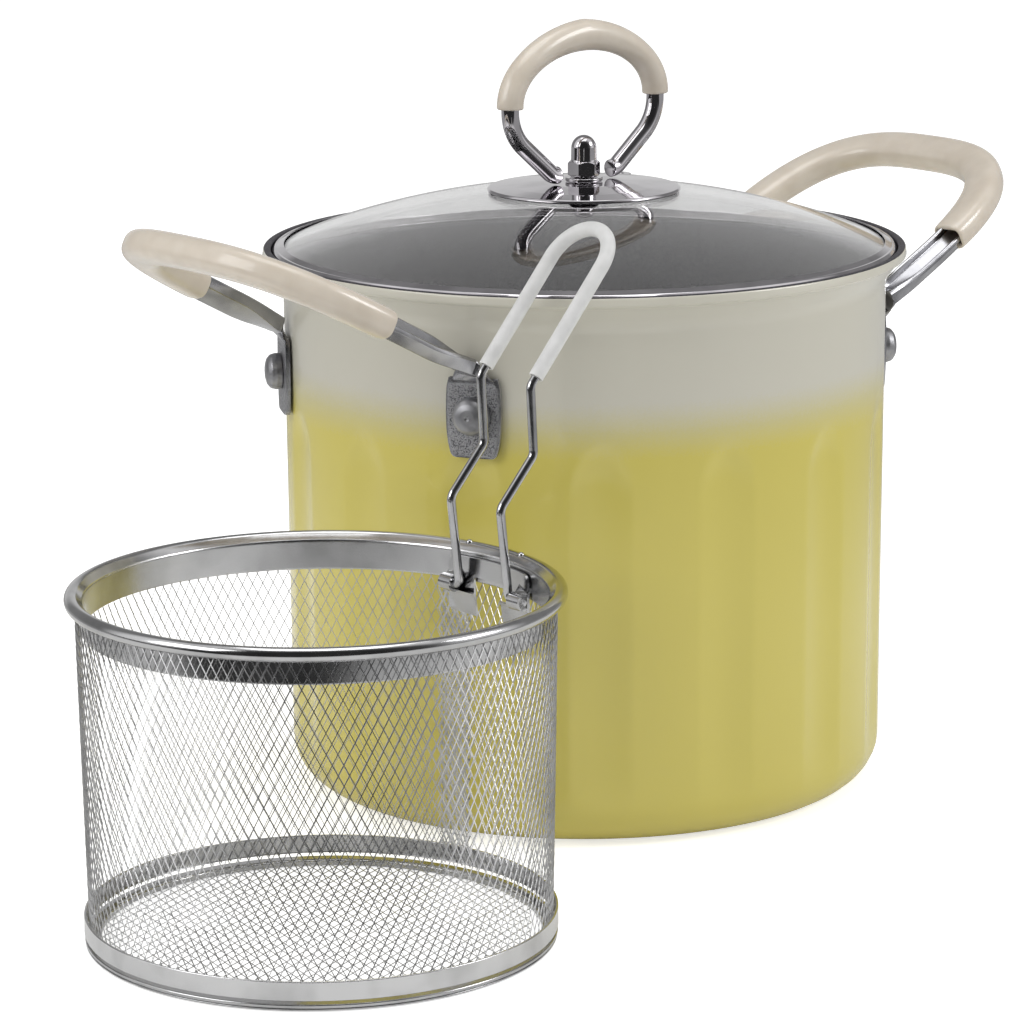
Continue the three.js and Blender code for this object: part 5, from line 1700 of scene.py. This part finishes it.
@dataclass
class BasketHandle:
    """The bent wire loop that folds on the bracket, and the white sleeve over its outer end.

    Pairs are places out from the hinge and above it, at rest.
    """

    basket: WireBasket
    wire_radius: float = 1.45
    half_spacing: float = 12.3
    wire_end: float = 19.8
    sleeve_radius: float = 2.4
    sleeve_lead: float = 3.5
    gap: float = 0.3
    kink_low: Pair = (-3.0, 29.0)
    kink_high: Pair = (10.5, 44.3)
    sleeve_start: Pair = (9.4, 66.3)
    tip: Pair = (46.2, 110.0)

    @property
    def lean(self) -> Array:
        """Direction of the sleeved part, in the plane of x and z."""
        return unit(np.array(self.tip) - np.array(self.sleeve_start))

    @property
    def normal(self) -> Array:
        """The direction that stands on the plane of the sleeved loop."""
        return np.array([-self.lean[1], 0, self.lean[0]])

    def at(self, out: Array | Pair, offset: float | Array) -> Array:
        """A point from its place out from the hinge and above it, and its offset to the side."""
        flat = np.array([self.basket.hinge_radius, self.basket.hinge]) + np.asarray(out)
        return np.stack([flat[..., 0], np.broadcast_to(offset, flat[..., 0].shape), flat[..., 1]], -1)

    def tip_arc(self) -> Array:
        """Draws the half circle that joins both wires.

        Returns:
            Its points, from one wire to the other.
        """
        base = np.array(self.tip) - self.lean * self.half_spacing
        angle = np.linspace(0, np.pi, 37)
        out = base + self.lean * (self.half_spacing * np.sin(angle))[:, None]
        return self.at(out, self.half_spacing * np.cos(angle))

    def both_sides(self, leg: Array, step: float) -> Array:
        """A leg, the tip and the leg's mirror image as one line, its points at most a step apart."""
        return densified(np.vstack([leg, self.tip_arc(), (leg * MIRROR_Y)[::-1]]), step)

    def wire_line(self) -> Array:
        """Draws the wire's middle line from one end in its roll, up, round the tip and down to the other.

        Returns:
            Its points.
        """
        bends = ((0.0, 0.0), self.kink_low, self.kink_high, self.sleeve_start)
        leg = [self.at(bend, self.half_spacing) for bend in bends]
        corners = np.stack([self.at((0.0, 0.0), self.wire_end), *leg, self.tip_arc()[0]])
        return self.both_sides(rounded(corners, np.array([2.3, 4.2, 4.2, 3.5]), 10)[:-1], 2.5)

    def sleeve_skin(self) -> Skin:
        """Carries a tube over the upper loop, with a small rounding at both ends.

        Returns:
            The sleeve's surface.
        """
        start = self.at(np.array(self.sleeve_start) + self.lean * self.sleeve_lead, self.half_spacing)
        line = self.both_sides(start[None], 2.0)
        _, across, up = path_frame(line, self.normal)
        outer = np.repeat(circle(28)[None] * self.sleeve_radius, len(line), 0)
        return hollow_bar(line, across, up, outer, circle(28) * (self.wire_radius + self.gap))

    def dress(self, finishes: Finishes) -> None:
        """Makes the handle's pieces.

        Args:
            finishes: the materials.
        """
        wire = round_bar(self.wire_line(), self.wire_radius, self.normal, 24)
        rows = [
            ("basket_handle_loop", wire, finishes.wire, "bright_steel", "basket_handle_wire", 40),
            ("basket_handle_cover", self.sleeve_skin(), finishes.sleeve, "white_silicone",
             "basket_handle_sleeve", 50),
        ]
        for name, skin, finish, slot, node, sharp in rows:
            make_piece(name, self.basket.at_basket(skin, self.basket.handle_turn), [finish], "basket_handle",
                       (node,), sharp)


# Studio


@dataclass
class Studio:
    """Pale floor, white surroundings and soft lamps; reflections also see the dark room by the camera."""

    floor_grey: str = "#EFEFEE"
    floor_lift: float = 0.66
    mirrored_lift: float = 0.05
    floor_half: float = 6.0
    floor_drop: float = 0.0004
    ambient: float = 0.44
    dark_side: Triple = (-0.62, -0.76, 0.18)
    dark_floor: Triple = (-0.844, -0.493, 0.0)
    dark_level: float = 0.03
    floor_end: float = 0.44
    end_blur: float = 0.12
    far_floor: float = 0.42
    far_from: float = 0.38
    far_to: float = 0.66
    middle: Triple = (-0.09, -0.04, 0.0)
    lamp_target: Triple = (-0.03, -0.02, 0.12)

    def floor_material(self) -> Material:
        """Makes the pale floor.

        Its glow makes it white to the camera and is less in reflections, which also see it turn grey some
        way from the object and end in the dark room before the camera.

        Returns:
            The material.
        """
        material, tree = new_material("studio_floor")
        glossy, through, diffuse = (add_node(tree, "LightPath", take=f"Is {ray} Ray")
                                    for ray in ("Glossy", "Transmission", "Diffuse"))
        place = add_node(tree, "TexCoord", take="Object")
        near = add_node(tree, "VectorMath", {1: self.dark_floor}, {0: place}, "Value",
                        operation="DOT_PRODUCT")
        edge = add_node(tree, "MapRange",
                        {"From Min": self.floor_end, "From Max": self.floor_end + self.end_blur},
                        {"Value": near})
        away = add_node(tree, "VectorMath", {1: self.middle}, {0: place}, "Value", operation="DISTANCE")
        far = add_node(tree, "MapRange", {"From Min": self.far_from, "From Max": self.far_to},
                       {"Value": away})
        beyond = add_node(tree, "Math", links={0: edge, 1: far}, operation="MAXIMUM")
        level = add_node(tree, "MapRange", {"To Min": self.far_floor, "To Max": self.dark_level},
                         {"Value": edge})
        mirrored = add_node(tree, "Math", links={0: glossy, 1: through}, operation="SUBTRACT",
                            use_clamp=True)
        dark = add_node(tree, "Math", links={0: beyond, 1: mirrored}, operation="MULTIPLY")
        bright = add_node(tree, "MapRange", {"To Min": self.floor_lift, "To Max": self.mirrored_lift},
                          {"Value": mirrored})
        lift = add_node(tree, "MapRange", {"To Max": 0.0}, {"Value": diffuse, "To Min": bright})
        matt = add_node(tree, "BsdfDiffuse", {"Color": linear(self.floor_grey)})
        glow = add_node(tree, "Emission", {"Color": (1, 1, 1, 1)}, {"Strength": lift})
        lit = add_node(tree, "AddShader", links={0: matt, 1: glow})
        room = add_node(tree, "Emission", {"Color": (1, 1, 1, 1)}, {"Strength": level})
        both = add_node(tree, "MixShader", links={0: dark, 1: lit, 2: room})
        add_node(tree, "OutputMaterial", links={"Surface": both})
        return material

    def floor(self) -> None:
        """Lays a wide floor just below the object, which keeps its shadow."""
        h = self.floor_half
        mesh = bpy.data.meshes.new("studio_floor")
        mesh.from_pydata([(-h, -h, 0), (h, -h, 0), (h, h, 0), (-h, h, 0)], [], [(0, 1, 2, 3)])
        mesh.materials.append(self.floor_material())
        floor = bpy.data.objects.new("studio_floor", mesh)
        floor.location.z = -self.floor_drop
        bpy.context.scene.collection.objects.link(floor)

    def world(self) -> None:
        """White behind the object, a softer light on it, and for reflections a dark room round the camera.

        Reflections take their level from the cosine between their direction and the one to the camera.
        """
        world = bpy.data.worlds.new("studio_world")
        bpy.context.scene.world = world
        world.use_nodes = True
        tree = world.node_tree
        tree.nodes.clear()
        camera, through, glossy = (add_node(tree, "LightPath", take=f"Is {ray} Ray")
                                   for ray in ("Camera", "Transmission", "Glossy"))
        clear = add_node(tree, "Math", links={0: camera, 1: through}, operation="MAXIMUM")
        way = add_node(tree, "TexCoord", take="Generated")
        cosine = add_node(tree, "VectorMath", {1: self.dark_side}, {0: way}, "Value",
                          operation="DOT_PRODUCT")
        share = add_node(tree, "MapRange", {"From Min": -1.0}, {"Value": cosine})
        levels = [(0.05, 0.66), (0.09, 0.27), (0.34, 0.27), (0.46, 1.0), (0.64, 1.0), (0.80, 0.10),
                  (0.92, 0.03)]
        room = add_node(tree, "ValToRGB", links={0: share},
                        stops=[(place, (level, level, level, 1.0)) for place, level in levels])
        soft = add_node(tree, "Mix", {6: (self.ambient,) * 3 + (1.0,)}, {0: glossy, 7: room}, 2,
                        data_type="RGBA")
        seen = add_node(tree, "Mix", {7: (1.0, 1.0, 1.0, 1.0)}, {0: clear, 6: soft}, 2, data_type="RGBA")
        light = add_node(tree, "Background", {"Strength": 1.0}, {"Color": seen})
        add_node(tree, "OutputWorld", links={"Surface": light})

    def lamp(self, name: str, place: Triple, size: float, watts: float) -> None:
        """Adds a square soft lamp that is turned to the object.

        Args:
            name: the lamp's name.
            place: where it hangs.
            size: length of its side.
            watts: its power.
        """
        data = bpy.data.lights.new(name, "AREA")
        data.shape, data.size, data.energy = "SQUARE", size, watts
        lamp = bpy.data.objects.new(name, data)
        lamp.location = place
        lamp.rotation_euler = (Vector(self.lamp_target) - Vector(place)).to_track_quat("-Z", "Y").to_euler()
        bpy.context.scene.collection.objects.link(lamp)

    def build(self) -> None:
        """Sets up the floor, the surroundings and the lamps."""
        self.floor()
        self.world()
        self.lamp("key_lamp", (1.0, -1.3, 1.1), 0.7, 12)
        self.lamp("fill_lamp", (-1.6, 0.2, 1.0), 1.0, 11)
        self.lamp("top_lamp", (-0.1, -0.1, 1.9), 1.2, 9)


@dataclass
class PhotoCamera:
    """The camera at the photograph's place: 1024 px wide on a 36 mm sensor."""

    lens_mm: float = 150.5
    sensor_mm: float = 36.0
    place_mm: Triple = (-950.73, -1091.65, 421.22)
    forward: Triple = (0.62735, 0.74624, -0.22262)
    up: Triple = (0.14846, 0.16602, 0.97488)
    nearest: float = 0.05
    farthest: float = 30.0

    def build(self) -> None:
        """Makes the camera; its axes are right, up and backwards."""
        data = bpy.data.cameras.new("photo_camera")
        data.lens, data.sensor_width, data.sensor_fit = self.lens_mm, self.sensor_mm, "HORIZONTAL"
        data.clip_start, data.clip_end = self.nearest, self.farthest
        camera = bpy.data.objects.new("photo_camera", data)
        ahead = Vector(self.forward).normalized()
        right = ahead.cross(Vector(self.up)).normalized()
        turn = Matrix((right, right.cross(ahead), -ahead)).transposed().to_4x4()
        camera.matrix_world = Matrix.Translation(Vector(self.place_mm) * MM) @ turn
        bpy.context.scene.collection.objects.link(camera)
        bpy.context.scene.camera = camera


def main() -> None:
    """Builds the camera, the studio and every piece in order, and writes the sizes."""
    logging.basicConfig(level=logging.INFO, format="%(message)s")
    bpy.context.scene.view_settings.view_transform = "Standard"
    PhotoCamera().build()
    Studio().build()
    finishes = Finishes()
    basket = WireBasket()
    parts = (PotShell(), SideHandle(Side.RIGHT), SideHandle(Side.LEFT), GlassLid(), basket,
             BasketHandle(basket))
    for part in parts:
        part.dress(finishes)


if __name__ == "__main__":
    main()
